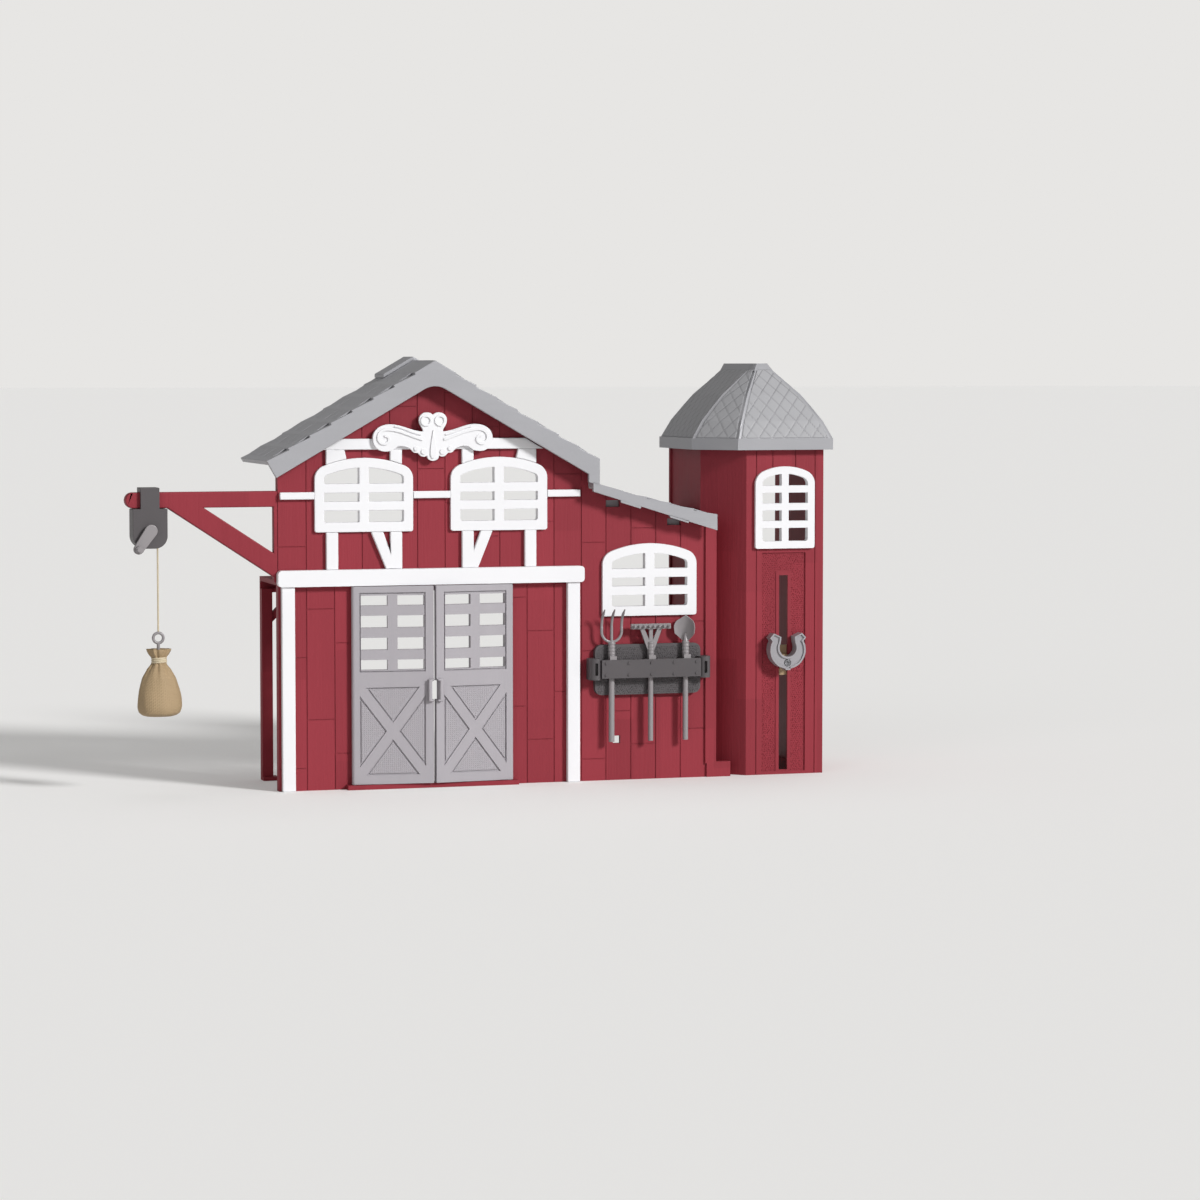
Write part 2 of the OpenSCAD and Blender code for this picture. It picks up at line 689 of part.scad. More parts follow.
// Right half of the outline: leaf, wing with its curl, neck and one lobe of the head
scroll_half = concat(
    bezier([0, -11.4], [2.4, -11.4], [4, -9.8], [3.9, -8], 4),
    arc([6.2, -5.4], 3.3, -115, -35, 4), arc([11.2, -3.4], 2.9, -110, -30, 4),
    bezier([15.5, -3.2], [18, -2], [20, -1.4], [23, -1.8], 3),
    bezier([25, -3.2], [27, -5], [29, -5.2], [31.5, -5.2], 4),
    tail(bezier([31.5, -5.2], [36, -5.2], [39.6, -2], [39.6, 3.2], 6)),
    tail(bezier([39.6, 3.2], [39.6, 8.6], [35, 12.2], [28, 12.2], 8)),
    tail(bezier([28, 12.2], [20, 12], [15, 8], [6.6, 7.4], 8)),
    tail(bezier([6.6, 7.4], [6, 9.5], [9.2, 11], [9.2, 14.8], 5)),
    tail(bezier([9.2, 14.8], [9.2, 18], [6.6, 19.7], [4.2, 19.7], 5)),
    tail(bezier([4.2, 19.7], [2, 19.7], [0.8, 19], [0, 18], 4)));
module gable_scroll() {
    placed() color(trim_white) translate([mid, 0, scroll_z]) {
        upright(scroll_t, -timber_t - scroll_t) polygon(both(scroll_half));
        // raised spirals on the wings, the lobes and the leaf
        upright(relief + 0.5, -timber_t - scroll_t - relief) {
            for (side = [0, 1]) mirror([side, 0]) {
                polygon(band(curl_path(), 0.8));
                polygon(band(bezier([25.5, 10.9], [19.5, 10.4], [14.5, 6.6], [8, 5.6], 8), 0.5));
                difference() {
                    translate([4.6, 14.4]) circle(3.6);
                    translate([4.6, 14.4]) circle(2.5);
                }
                translate([6.2, -5.4]) circle(1.8);
                translate([11.2, -3.4]) circle(1.5);
            }
            polygon(both(bezier([0, -9.8], [3.4, -9.8], [1.6, -1], [0, 8.5], 8)));
        }
    }
}

// One arched window: a frame that laps the wall and a rim that plugs the hole behind it
module arched_window(w, h, crown, shoulder, frame, lap, first_row, row, bars, bar, rim_d) {
    upright(frame_t, -frame_t) difference() {
        polygon(basket_arch(w, h, crown, shoulder));
        panes(w, h, crown, shoulder, frame, first_row, row, bars, bar);
    }
    upright(rim_d) difference() {
        polygon(basket_arch(w, h, crown, shoulder, lap + snug));
        panes(w, h, crown, shoulder, frame, first_row, row, bars, bar);
    }
}
module panes(w, h, crown, shoulder, frame, first_row, row, bars, bar) {
    difference() {
        polygon(basket_arch(w, h, crown, shoulder, frame));
        translate([-frame / 2, 0]) square([frame, h]);
        for (i = [0 : bars - 1])
            translate([-w / 2, frame + first_row + i * (row + bar)]) square([w, bar]);
    }
}
module barn_window(x, z) {
    placed() color(trim_white) translate([x, 0, z])
        arched_window(win_w, win_h, arch_r, shoulder_r, frame_w, win_lap, 7.4, 5.6, 2, bar_w, wall_t);
}
module left_loft_window() {
    barn_window(win_x[0], loft_win_z);
}
module right_loft_window() {
    barn_window(win_x[1], loft_win_z);
}
module lean_window() {
    barn_window(lean_win_x, lean_win_z);
}

// ---- doors ----

module door_sill() {
    placed() color(barn_red) difference() {
        translate([door_left - 3, hinge_y - pin_r - 2, 0])
            cube([door_span + 6, -hinge_y + pin_r + 2, sill_h]);
        for (x = [door_left + hinge_in, door_right - hinge_in])
            translate([x, hinge_y, sill_h - pin_len]) cylinder(r = pin_r + pin_clear, h = pin_len + overcut);
    }
}

// A leaf that starts at its hinge axis and runs along +x, with its front face towards -y
leaf_border = 5.3;
lattice_h = 51;                                     // height of the latticed upper recess
lattice_rim = 1.5;
lattice_bar = 6.5;
mullion_w = 6.4;
pane_rows = [6.4, 7.7, 7.7, 6.4];                   // from the bottom up
mid_band = 9.9;
brace_w = 6.4;
face_in = 1.1;                                      // depth of the recesses
groove_w = 1;
board_in = 0.35;                                    // how far the panel boards lie behind the face
function pane_low(k) = k == 0 ? 0 : pane_low(k - 1) + pane_rows[k - 1] + lattice_bar;
module leaf() {
    half = leaf_t / 2;
    x0 = -hinge_in;
    x1 = x0 + leaf_w;
    top = leaf_z + leaf_h;
    recess_top = top - 4.1;
    recess_low = recess_top - lattice_h;
    pane_x0 = x0 + leaf_border + 0.9;
    pane_x1 = x1 - leaf_border - 0.9;
    pane_w = (pane_x1 - pane_x0 - mullion_w) / 2;
    pane_z = recess_low + lattice_rim;
    panel_z0 = leaf_z + 5.9;
    panel_z1 = recess_low - mid_band;
    // how far the cross brace runs on under the border
    run = 2;
    rise = run * (panel_z1 - panel_z0) / (leaf_w - 2 * leaf_border);
    module panes() {
        for (i = [0, 1], k = [0 : 3])
            translate([pane_x0 + i * (pane_w + mullion_w), -leaf_t, pane_z + pane_low(k)])
                cube([pane_w, 2 * leaf_t, pane_rows[k]]);
    }
    difference() {
        union() {
            translate([0, -half, leaf_z]) cube([x1, leaf_t, leaf_h]);
            translate([0, 0, leaf_z]) cylinder(r = half, h = leaf_h);
        }
        // grooved rim of the latticed recess
        translate([x0 + leaf_border, -half - overcut, recess_low])
            cube([leaf_w - 2 * leaf_border, face_in + overcut, lattice_h]);
        panes();
        // lower panel, with its cross brace left standing
        difference() {
            translate([x0 + leaf_border, -half - overcut, panel_z0])
                cube([leaf_w - 2 * leaf_border, face_in + overcut, panel_z1 - panel_z0]);
            upright(leaf_t, -half) {
                bar([x0 + leaf_border - run, panel_z0 - rise], [x1 - leaf_border + run, panel_z1 + rise], brace_w);
                bar([x0 + leaf_border - run, panel_z1 + rise], [x1 - leaf_border + run, panel_z0 - rise], brace_w);
            }
        }
        // finger notch in the free edge
        translate([x1 - notch_in, -half - overcut, pull_z + 1.2]) cube([2, leaf_t + 2 * overcut, pull_h - 2.4]);
    }
    // lower panel boards, between the grooves
    difference() {
        translate([x0 + leaf_border + groove_w, -half + board_in, panel_z0 + groove_w])
            cube([leaf_w - 2 * (leaf_border + groove_w), face_in, panel_z1 - panel_z0 - 2 * groove_w]);
        upright(leaf_t, -half) {
            bar([x0 + leaf_border - run, panel_z0 - rise], [x1 - leaf_border + run, panel_z1 + rise],
                brace_w + 2 * groove_w);
            bar([x0 + leaf_border - run, panel_z1 + rise], [x1 - leaf_border + run, panel_z0 - rise],
                brace_w + 2 * groove_w);
        }
    }
    // inner lattice frame, back up to the face
    difference() {
        translate([pane_x0 - 0.2, -half + 0.3, recess_low + 0.7])
            cube([pane_x1 - pane_x0 + 0.4, face_in, lattice_h - 1.4]);
        panes();
    }
    // hinge pins
    translate([0, 0, sill_h - pin_len + 0.1]) cylinder(r = pin_r, h = pin_len + sill_gap + 0.4);
    translate([0, 0, top - 0.4]) cylinder(r = pin_r, h = pin_len + 0.8);
}
notch_in = 1.5;
pull_h = 14.6;
pull_w = 3.8;
pull_t = 3;
pull_z = leaf_z + leaf_h - 74.5;
module pull() {
    half = leaf_t / 2;
    x1 = leaf_w - hinge_in;
    difference() {
        translate([x1 - pull_w, -half - pull_t, pull_z]) cube([pull_w, pull_t, pull_h]);
        translate([x1 - notch_in, -half - pull_t - overcut, pull_z + 1.2])
            cube([2, pull_t + overcut + 1, pull_h - 2.4]);
    }
}
module hang_left() {
    translate([door_left + hinge_in, hinge_y, 0]) rotate([0, 0, -ajar]) children();
}
module hang_right() {
    translate([door_right - hinge_in, hinge_y, 0]) rotate([0, 0, ajar]) mirror([1, 0, 0]) children();
}
module left_door() {
    placed() color(door_grey) hang_left() leaf();
}
module right_door() {
    placed() color(door_grey) hang_right() leaf();
}
module left_pull() {
    placed() color(door_grey) hang_left() pull();
}
module right_pull() {
    placed() color(door_grey) hang_right() pull();
}

// ---- tool rack and tools ----

module tool_rack() {
    x0 = rack_x - rack_len / 2;
    x1 = rack_x + rack_len / 2;
    round_r = 4.5;
    bar_y = -(rack_t + rack_gap + rack_bar_t);
    knuckle = 8;
    knuckle_x = rack_bar_len / 2 + knuckle / 2 - 0.5;
    placed() color(rack_grey) difference() {
        union() {
            upright(rack_t, -rack_t) polygon(concat(
                arc([x1 - round_r, rack_z + round_r], round_r, -90, 0, 6),
                arc([x1 - round_r, rack_z + rack_h - round_r], round_r, 0, 90, 6),
                arc([x0 + round_r, rack_z + rack_h - round_r], round_r, 90, 180, 6),
                arc([x0 + round_r, rack_z + round_r], round_r, 180, 270, 6)));
            translate([rack_x - rack_bar_len / 2, bar_y, rack_bar_z]) cube([rack_bar_len, rack_bar_t, rack_bar_h]);
            // webs beside the handle slots
            for (x = tool_x, side = [-1, 1])
                translate([x + side * (tool_slot_w / 2 + 1.2) - 1.2, -(rack_t + rack_gap + 0.5), rack_bar_z])
                    cube([2.4, rack_gap + 1, rack_bar_h]);
            // hooked ends
            for (side = [-1, 1]) {
                kx = rack_x + side * knuckle_x;
                translate([kx - knuckle / 2, -8, rack_bar_z - 1]) cube([knuckle, 8 - corner_t - fit, rack_bar_h + 2]);
                translate([kx, -8, rack_bar_z - 1]) cylinder(d = knuckle, h = rack_bar_h + 2);
            }
        }
        for (side = [-1, 1]) {
            kx = rack_x + side * knuckle_x;
            translate([kx - 1, -13, rack_bar_z + 2]) cube([2, 4, rack_bar_h - 4]);
        }
        for (side = [-1, 1])
            rod_y(screw_r + snug / 2, 3, rack_x + side * 14, -3, rack_z + 4);
    }
    // rivets along the bar
    placed() color(rack_grey) for (i = [0 : 4], z = [rack_bar_z + 2.2, rack_bar_top - 2.2])
        rod_y(0.9, rivet_t + 0.1, rack_x - rack_bar_len / 2 + 3 + i * (rack_bar_len - 6) / 4, -rack_reach, z);
}

// Lip that rests on the bar, with a grip sleeve above it
module collar() {
    translate([-2.3, -rack_gap / 2 - 1.6, rack_bar_top]) cube([4.6, rack_gap / 2 + 1.6, 2.4]);
    translate([0, 0, rack_bar_top]) cylinder(r = shaft_r + 0.3, h = tool_neck - 1);
    for (i = [0 : 3])
        translate([0, 0, rack_bar_top + 3.4 + i * 2.2]) cylinder(r = shaft_r + 0.55, h = 1);
}
shaft_low = rack_bar_top - tool_drop;
// Fork with three curved tines
module fork() {
    tine_gap = 6.8;                                 // between the tines
    yoke_z = rack_bar_top + tool_neck + tine_gap - 0.5;
    bend_z = yoke_z + 3;
    bend_r = tine_r - 0.06;                         // a bend sits a hair inside the straight it leaves
    placed() color(tool_grey) translate([tool_x[0], tool_y, 0]) {
        translate([0, 0, shaft_low]) cylinder(r = shaft_r, h = rack_bar_top + tool_neck - shaft_low);
        collar();
        difference() {
            translate([0, 0, yoke_z]) rotate([90, 0, 0])
                rotate_extrude() translate([tine_gap, 0]) circle(bend_r, $fn = 16);
            translate([-12, -3, yoke_z + 0.2]) cube([24, 6, 12]);
        }
        for (x = [-tine_gap, 0, tine_gap]) {
            low = x == 0 ? rack_bar_top + tool_neck - 2 : yoke_z;
            translate([x, 0, low]) cylinder(r = tine_r, h = bend_z - low, $fn = 16);
            translate([x, -tine_bend, bend_z]) {
                rotate([90, 0, 90]) intersection() {
                    rotate_extrude() translate([tine_bend, 0]) circle(bend_r, $fn = 16);
                    translate([0, 0, -2]) linear_extrude(4)
                        polygon([[0, 0], [0, -0.3], [20, -0.3], [20, 20 * tan(tine_turn / 2)],
                            20 / cos(tine_turn / 2) * [cos(tine_turn), sin(tine_turn)]]);
                }
                translate([0, tine_bend * cos(tine_turn), tine_bend * sin(tine_turn)]) rotate([tine_turn, 0, 0])
                    translate([0, 0, -0.3]) cylinder(r1 = bend_r - 0.05, r2 = 0.4, h = tine_tip + 0.3, $fn = 16);
            }
        }
    }
}

// Rake with a fan neck and a row of stub teeth
module rake() {
    head_w = 27;
    head_z = rack_bar_top + 20;
    placed() color(tool_grey) translate([tool_x[1], tool_y, 0]) {
        translate([0, 0, shaft_low]) cylinder(r = shaft_r - 0.2, h = rack_bar_top + 8 - shaft_low);
        collar();
        upright(2, -1) polygon([[-2, rack_bar_top + 5], [2, rack_bar_top + 5], [7.6, head_z], [4.6, head_z],
            [1.2, rack_bar_top + 12], [1.2, head_z], [-1.2, head_z], [-1.2, rack_bar_top + 12], [-4.6, head_z],
            [-7.6, head_z]]);
        translate([-head_w / 2, -1.4, head_z - 0.5]) cube([head_w, 2.8, 3.4]);
        for (i = [0 : 7])
            translate([-head_w / 2 + 1.6 + i * (head_w - 3.2) / 7, 0, head_z + 1.2])
                rotate([90, 0, 0]) cylinder(r1 = 1.3, r2 = 0.6, h = 4.4, $fn = 16);
    }
}

// Shovel with a dished blade
module shovel() {
    blade_w = 14;
    blade_z = rack_bar_top + tool_neck - 0.5;
    blade_h = 16.5;
    dish = 11;
    outline = concat([[-2.2, 0]], [[-blade_w / 2 + 0.5, 4.5]], arc([0, blade_h - 8], blade_w / 2, 180, 140, 4),
        [[0, blade_h]], arc([0, blade_h - 8], blade_w / 2, 40, 0, 4), [[blade_w / 2 - 0.5, 4.5]], [[2.2, 0]]);
    placed() color(tool_grey) translate([tool_x[2], tool_y, 0]) {
        translate([0, 0, shaft_low]) cylinder(r = shaft_r - 0.1, h = rack_bar_top + tool_neck - shaft_low);
        collar();
        translate([0, 0, rack_bar_top + tool_neck - 1]) cylinder(r1 = shaft_r, r2 = 1, h = 5);
        rotate([0, 0, -35]) intersection() {
            translate([0, 0, blade_z]) upright(12, -6) polygon(outline);
            difference() {
                translate([0, -dish + 1.4, blade_z - 1]) cylinder(r = dish, h = blade_h + 2);
                translate([0, -dish + 1.4, blade_z - 2]) cylinder(r = dish - 1.5, h = blade_h + 4);
            }
        }
    }
}

// ---- silo ----

// Plan of the silo from its left rear corner round the chamfer to its right rear corner
silo_kink = tan(22.5);
function silo_plan(d, back) =
    [[d - silo_left, back], [d - silo_left, silo_cut + d * silo_kink], [silo_cut - silo_left + d * silo_kink, d],
     [silo_side - d, d], [silo_side - d, back]];

bead = 1.2;
module silo_shell() {
    placed() color(barn_red) translate([silo_x, 0, 0]) difference() {
        union() {
            linear_extrude(silo_h) polygon(silo_plan(0, silo_d));
            // beads down the rear edges
            for (x = [-silo_left - bead, silo_side])
                translate([x, silo_d - 3, 0]) cube([bead, 3, silo_h]);
        }
        translate([0, 0, -overcut]) linear_extrude(silo_h + 2 * overcut) polygon(silo_plan(silo_t, silo_d + overcut));
        upright(silo_t + 2 * overcut, -overcut) translate([0, silo_win_z])
            polygon(basket_arch(silo_win_w, silo_win_h, silo_win_crown, silo_win_shoulder, silo_win_lap));
        // recessed panel with a raised border round the slot
        difference() {
            translate([-panel_w / 2, -overcut, slot_z - 1]) cube([panel_w, overcut + panel_in, panel_top - slot_z + 1]);
            translate([-surround_w / 2, panel_in / 2, 0]) cube([surround_w, panel_in, slot_top + 2.7]);
        }
        translate([-slot_w / 2, -overcut, slot_z]) cube([slot_w, silo_t + 2 * overcut, slot_top - slot_z]);
        // plank seams over the window and down the corners
        for (x = [-8, 8])
            translate([x - seam_w / 2, -overcut, silo_win_z + silo_win_h - 4]) cube([seam_w, overcut + seam_in, silo_h]);
        for (x = [silo_cut - silo_left + 7, silo_side - 6])
            translate([x - seam_w / 2, -overcut, -overcut])
                cube([seam_w, overcut + seam_in, silo_h + 2 * overcut]);
        // level seams on the sides
        for (z = [44, 88, 132, 176]) {
            translate([-silo_left - bead - overcut, silo_cut + 4, z])
                cube([bead + overcut + seam_in, silo_d, seam_w]);
            translate([silo_side - seam_in, 4, z]) cube([bead + overcut + seam_in, silo_d, seam_w]);
        }
    }
}

module silo_base() {
    placed() color(barn_red) translate([silo_x, 0, 0])
        linear_extrude(base_t) polygon(silo_plan(silo_t + snug, silo_d - 1));
}

// Bell-shaped roof: height of each level above the eave band, and how far it has drawn in to the ridge cap
band_h = 7.5;
silo_levels = [[0, 0.025], [0.23, 0.18], [0.43, 0.37], [0.58, 0.52], [0.92, 0.95]];
cap_left = -10.5;
cap_right = -1.5;
cap_front = 27;
cap_mid = (cap_left + cap_right) / 2;
silo_eave = [[-silo_left - silo_over_left, silo_d], [-silo_left - silo_over_left, silo_cut - 5.5],
             [silo_cut - silo_left - silo_over_left, -silo_over], [silo_side + silo_over_right, -silo_over],
             [silo_side + silo_over_right, silo_d]];
silo_ridge = [[cap_left - 1.5, silo_d], [cap_left - 1.5, cap_front + 4.5], [cap_left, cap_front],
              [cap_right, cap_front], [cap_right, silo_d]];
function roof_plan(in) = [for (i = [0 : 4]) silo_eave[i] + in * (silo_ridge[i] - silo_eave[i])];
function raised(plan, z) = [for (p = plan) [p[0], p[1], z]];
// Adds a raised rib at each front corner of a plan
rib_w = 1.4;
rib_h = 0.9;
function unit(v) = v / norm(v);
function ribbed(plan) = [for (i = [0 : 4]) each (i == 0 || i == 4) ? [plan[i]] :
    let (p = plan[i], u = unit(plan[i - 1] - p), v = unit(plan[i + 1] - p))
    [p + u * rib_w, p - unit(u + v) * rib_h, p + v * rib_w]];
// A plan drawn in by the wall, open at the back
function within(plan) = [for (p = plan)
    [cap_mid + (p[0] - cap_mid) * 0.93, p[1] < silo_d ? p[1] + 3 : silo_d + overcut]];
module silo_roof() {
    rise = silo_roof_h - band_h;
    eave = silo_h + band_h;
    last = silo_levels[len(silo_levels) - 1];
    first = silo_levels[0];
    rings = concat([raised(ribbed(roof_plan(first[1])), eave - 1)],
        [for (l = silo_levels) raised(ribbed(roof_plan(l[1])), eave + l[0] * rise)]);
    inside = concat([raised(within(roof_plan(first[1])), silo_h + 2.5)],
        [for (l = silo_levels) raised(within(roof_plan(l[1])), eave + l[0] * rise - 3.4)]);
    placed() color(roof_grey) translate([silo_x, 0, 0]) {
        difference() {
            union() {
                translate([0, 0, silo_h]) linear_extrude(band_h) polygon(roof_plan(0));
                loft(rings);
            }
            loft(inside);
            translate([0, 0, silo_h - overcut]) linear_extrude(5)
                polygon(silo_plan(silo_t + fit + 2, silo_d + overcut));
        }
        // capping band
        translate([0, 0, eave + last[0] * rise - 1]) linear_extrude((1 - last[0]) * rise + 1)
            polygon([for (p = roof_plan(last[1])) [p[0] + sign(p[0] - cap_mid) * 1.4, p[1] < silo_d ? p[1] - 1.4 : p[1]]]);
        // lip that drops inside the walls
        translate([0, 0, silo_h - 4]) linear_extrude(5) difference() {
            polygon(silo_plan(silo_t + fit, silo_d - 2));
            polygon(silo_plan(silo_t + fit + 2, silo_d));
        }
    }
}

module silo_window() {
    placed() color(trim_white) translate([silo_x, 0, silo_win_z])
        arched_window(silo_win_w, silo_win_h, silo_win_crown, silo_win_shoulder, 4.9, silo_win_lap, 8.7, 7, 3, 4.7, silo_t);
}

// ---- lift ----

module lift_rails() {
    gap = slider_w / 2 + 0.4;
    lip_y = silo_t + 0.5 + slider_t + 0.3;
    placed() color(barn_red) translate([silo_x, 0, 0]) for (side = [-1, 1]) {
        translate([side * (gap + rail_t / 2) - rail_t / 2, silo_t, base_t])
            cube([rail_t, lip_y + 1.5 - silo_t, rail_top - base_t]);
        translate([side * (gap - 0.9) - 0.9, lip_y, base_t]) cube([1.8, 1.5, rail_top - base_t]);
    }
}

module lift_slider() {
    y0 = silo_t + 0.5;
    placed() color(tan) translate([silo_x, 0, 0]) difference() {
        union() {
            translate([-slider_w / 2, y0, deck_z]) cube([slider_w, slider_t, slider_h]);
            translate([-slot_w / 2 + 0.4, -shoe_gap, neck_z]) cube([slot_w - 0.8, y0 + shoe_gap + 1, neck_h]);
            translate([-slider_w / 2 + 3, y0, deck_z]) cube([slider_w - 6, slider_t + 2.6, slider_h]);
        }
        rod_y(screw_r + snug / 2, 7 + shoe_gap, 0, -shoe_gap - overcut, screw_z);
    }
}

module lift_deck() {
    front = silo_t + 0.5 + slider_t + 2.6;
    plan = silo_plan(silo_t + deck_gap, silo_d - 2);
    rim = silo_plan(silo_t + deck_gap + 1.8, silo_d - 2 + overcut);
    module clipped() {
        intersection() {
            children();
            translate([-silo_w, front, 0]) cube([2 * silo_w, silo_d, silo_h]);
        }
    }
    placed() color(tan) translate([silo_x, 0, 0]) clipped() {
        difference() {
            translate([0, 0, deck_z]) linear_extrude(deck_t) polygon(plan);
            for (i = [-4 : 2])
                translate([i * 9.5 - 0.35, 0, deck_z + deck_t - 0.5]) cube([0.7, silo_d, 1]);
        }
        // low rim on three sides
        difference() {
            translate([0, 0, deck_z]) linear_extrude(deck_t + 3) polygon(plan);
            translate([0, 0, deck_z - overcut]) linear_extrude(deck_t + 5 + overcut) polygon(rim);
        }
    }
}

// Horseshoe pull, open end up, with a raised rim along both edges
heel = [[-12.6, 8.2], [-9.9, 11.2], [-4.7, 8.8], [-5.2, 5], [-10.5, 5.4]];
module shoe_shape(d) {
    offset_heel = [for (p = heel) p + d * unit([-8.6, 8] - p)];
    difference() {
        union() {
            circle(shoe_r - d);
            for (side = [0, 1]) mirror([side, 0]) polygon(offset_heel);
            polygon([[-1.6, -shoe_r - 0.9 + d], [1.6, -shoe_r - 0.9 + d], [2, -shoe_r + 2], [-2, -shoe_r + 2]]);
        }
        translate([0, 1.5]) circle(shoe_in + d);
        polygon([[-shoe_in + 0.6 - d, 3], [-4.7 - d, 8.8], [-4.7 - d, 16], [4.7 + d, 16], [4.7 + d, 8.8],
            [shoe_in - 0.6 + d, 3]]);
        translate([-shoe_r, 7.4]) square([2 * shoe_r, 12]);
    }
    for (side = [0, 1]) mirror([side, 0]) polygon(offset_heel);
}
module lift_handle() {
    front = -(shoe_gap + shoe_t);
    placed() color(roof_grey) translate([silo_x, 0, 0]) difference() {
        translate([0, 0, shoe_z]) {
            upright(shoe_t - 1, front + 1) shoe_shape(0);
            upright(1.6, front) difference() {
                shoe_shape(0);
                shoe_shape(1.2);
            }
        }
        rod_y(screw_r + snug, shoe_t + 2 * overcut, 0, front - overcut, screw_z);
        rod_y(2.5, 2.2 + overcut, 0, front - overcut, screw_z);
    }
}
module lift_screw() {
    seat = -(shoe_gap + shoe_t) + 2.2;
    placed() color(steel) translate([silo_x, 0, 0]) difference() {
        union() {
            rod_y(2.2, 1.3, 0, seat - 1.3, screw_z);
            rod_y(screw_r, shoe_t - 2.2 + shoe_gap + 4, 0, seat, screw_z);
        }
        for (a = [0, 90])
            translate([0, seat - 1.3, screw_z]) rotate([0, a, 0]) cube([2.6, 1.2, 0.6], center = true);
    }
}

// ---- crane ----

module crane_arm() {
    tip = -crane_reach;
    run_x = (beam_z - beam_h - crane_foot_z - strut_w) / tan(strut_tilt);
    up = strut_w / cos(strut_tilt);
    placed() color(barn_red) difference() {
        union() {
            translate([-crane_plate_t, crane_y, crane_foot_z - 2])
                cube([crane_plate_t, return_d - crane_y, beam_z - crane_foot_z + 2]);
            upright(beam_t, crane_y) {
                translate([tip + beam_h / 2, beam_z - beam_h]) square([-tip - beam_h / 2, beam_h]);
                translate([tip + beam_h / 2, beam_z - beam_h / 2]) circle(d = beam_h);
                intersection() {
                    polygon([[0, crane_foot_z], [-200, crane_foot_z + 200 * tan(strut_tilt)],
                        [-200, crane_foot_z + 200 * tan(strut_tilt) + up], [0, crane_foot_z + up]]);
                    translate([tip, crane_foot_z - overcut]) square([-tip, beam_z - beam_h / 2 - crane_foot_z]);
                }
            }
        }
        // the arm keeps clear of the wall's return
        translate([0, -overcut, 0]) cube([overcut, 20, peak_z]);
    }
}

module winch_housing() {
    y0 = crane_y - cheek_gap - cheek_t;
    depth = beam_t + 2 * (cheek_gap + cheek_t);
    top = beam_z - beam_h - 0.3;
    low = top - housing_h;
    cavity = drum_r + 3.6;
    placed() color(rack_grey) difference() {
        union() {
            // saddle over the beam
            upright(depth, y0) translate([drum_x - 6, top - 3]) square([12, beam_h + 6.3]);
            // drum case with a rounded bottom
            upright(depth, y0) difference() {
                union() {
                    translate([drum_x - housing_w / 2, low + 8]) square([housing_w, housing_h - 8]);
                    translate([drum_x - housing_w / 2 + 8, low]) square([housing_w - 16, housing_h]);
                    for (side = [-1, 1]) translate([drum_x + side * (housing_w / 2 - 8), low + 8]) circle(8);
                }
            }
        }
        // the beam's passage
        translate([drum_x - 20, crane_y - cheek_gap, beam_z - beam_h - 0.3]) cube([40, beam_t + 2 * cheek_gap, beam_h + 0.3]);
        // drum chamber, open below
        rod_y(cavity, drum_len + 0.6, drum_x, crane_mid - drum_len / 2 - 0.3, drum_z);
        translate([drum_x - cavity, crane_mid - drum_len / 2 - 0.3, low - overcut])
            cube([2 * cavity, drum_len + 0.6, drum_z - low + overcut]);
        rod_y(1.5 + pin_clear, depth + 2 * overcut, drum_x, y0 - overcut, drum_z);
    }
}

module winch_drum() {
    y0 = crank_front;
    placed() color(tool_grey) {
        rod_y(1.5, crane_mid + drum_len / 2 + cheek_t - y0, drum_x, y0, drum_z);
        rod_y(drum_r, drum_len, drum_x, crane_mid - drum_len / 2, drum_z);
        for (y = [crane_mid - drum_len / 2, crane_mid + drum_len / 2 - 1.2])
            rod_y(drum_r + 2.6, 1.2, drum_x, y, drum_z);
    }
}
module crank_arm() {
    placed() color(tool_grey) translate([drum_x, 0, drum_z]) rotate([0, -crank_turn, 0])
        upright(crank_t, crank_front - crank_t) {
            circle(4);
            translate([crank_len, 0]) circle(3.2);
            polygon([[0, -4], [crank_len, -3.2], [crank_len, 3.2], [0, 4]]);
        }
}
module crank_knob() {
    placed() color(tool_grey) translate([drum_x, 0, drum_z]) rotate([0, -crank_turn, 0]) {
        rod_y(2.4, knob_len - 1, crank_len, crank_front - crank_t - knob_len + 1, 0);
        rod_y(1.8, knob_len, crank_len, crank_front - crank_t - knob_len, 0);
    }
}

module hoist_rope() {
    placed() color(tan) translate([rope_x, crane_mid, rope_bottom]) cylinder(r = rope_r, h = rope_len, $fn = 16);
}

ring_r = 3.2;
ring_t = 0.9;
stem_r = 1;
stem_len = 8;
module sack_hook() {
    ring_z = rope_bottom - ring_r - ring_t;
    placed() color(steel) translate([rope_x, crane_mid, ring_z]) {
        rotate([90, 0, 0]) rotate_extrude() translate([ring_r, 0]) circle(ring_t, $fn = 20);
        translate([0, 0, -ring_r - stem_len]) cylinder(r = stem_r, h = stem_len);
    }
}

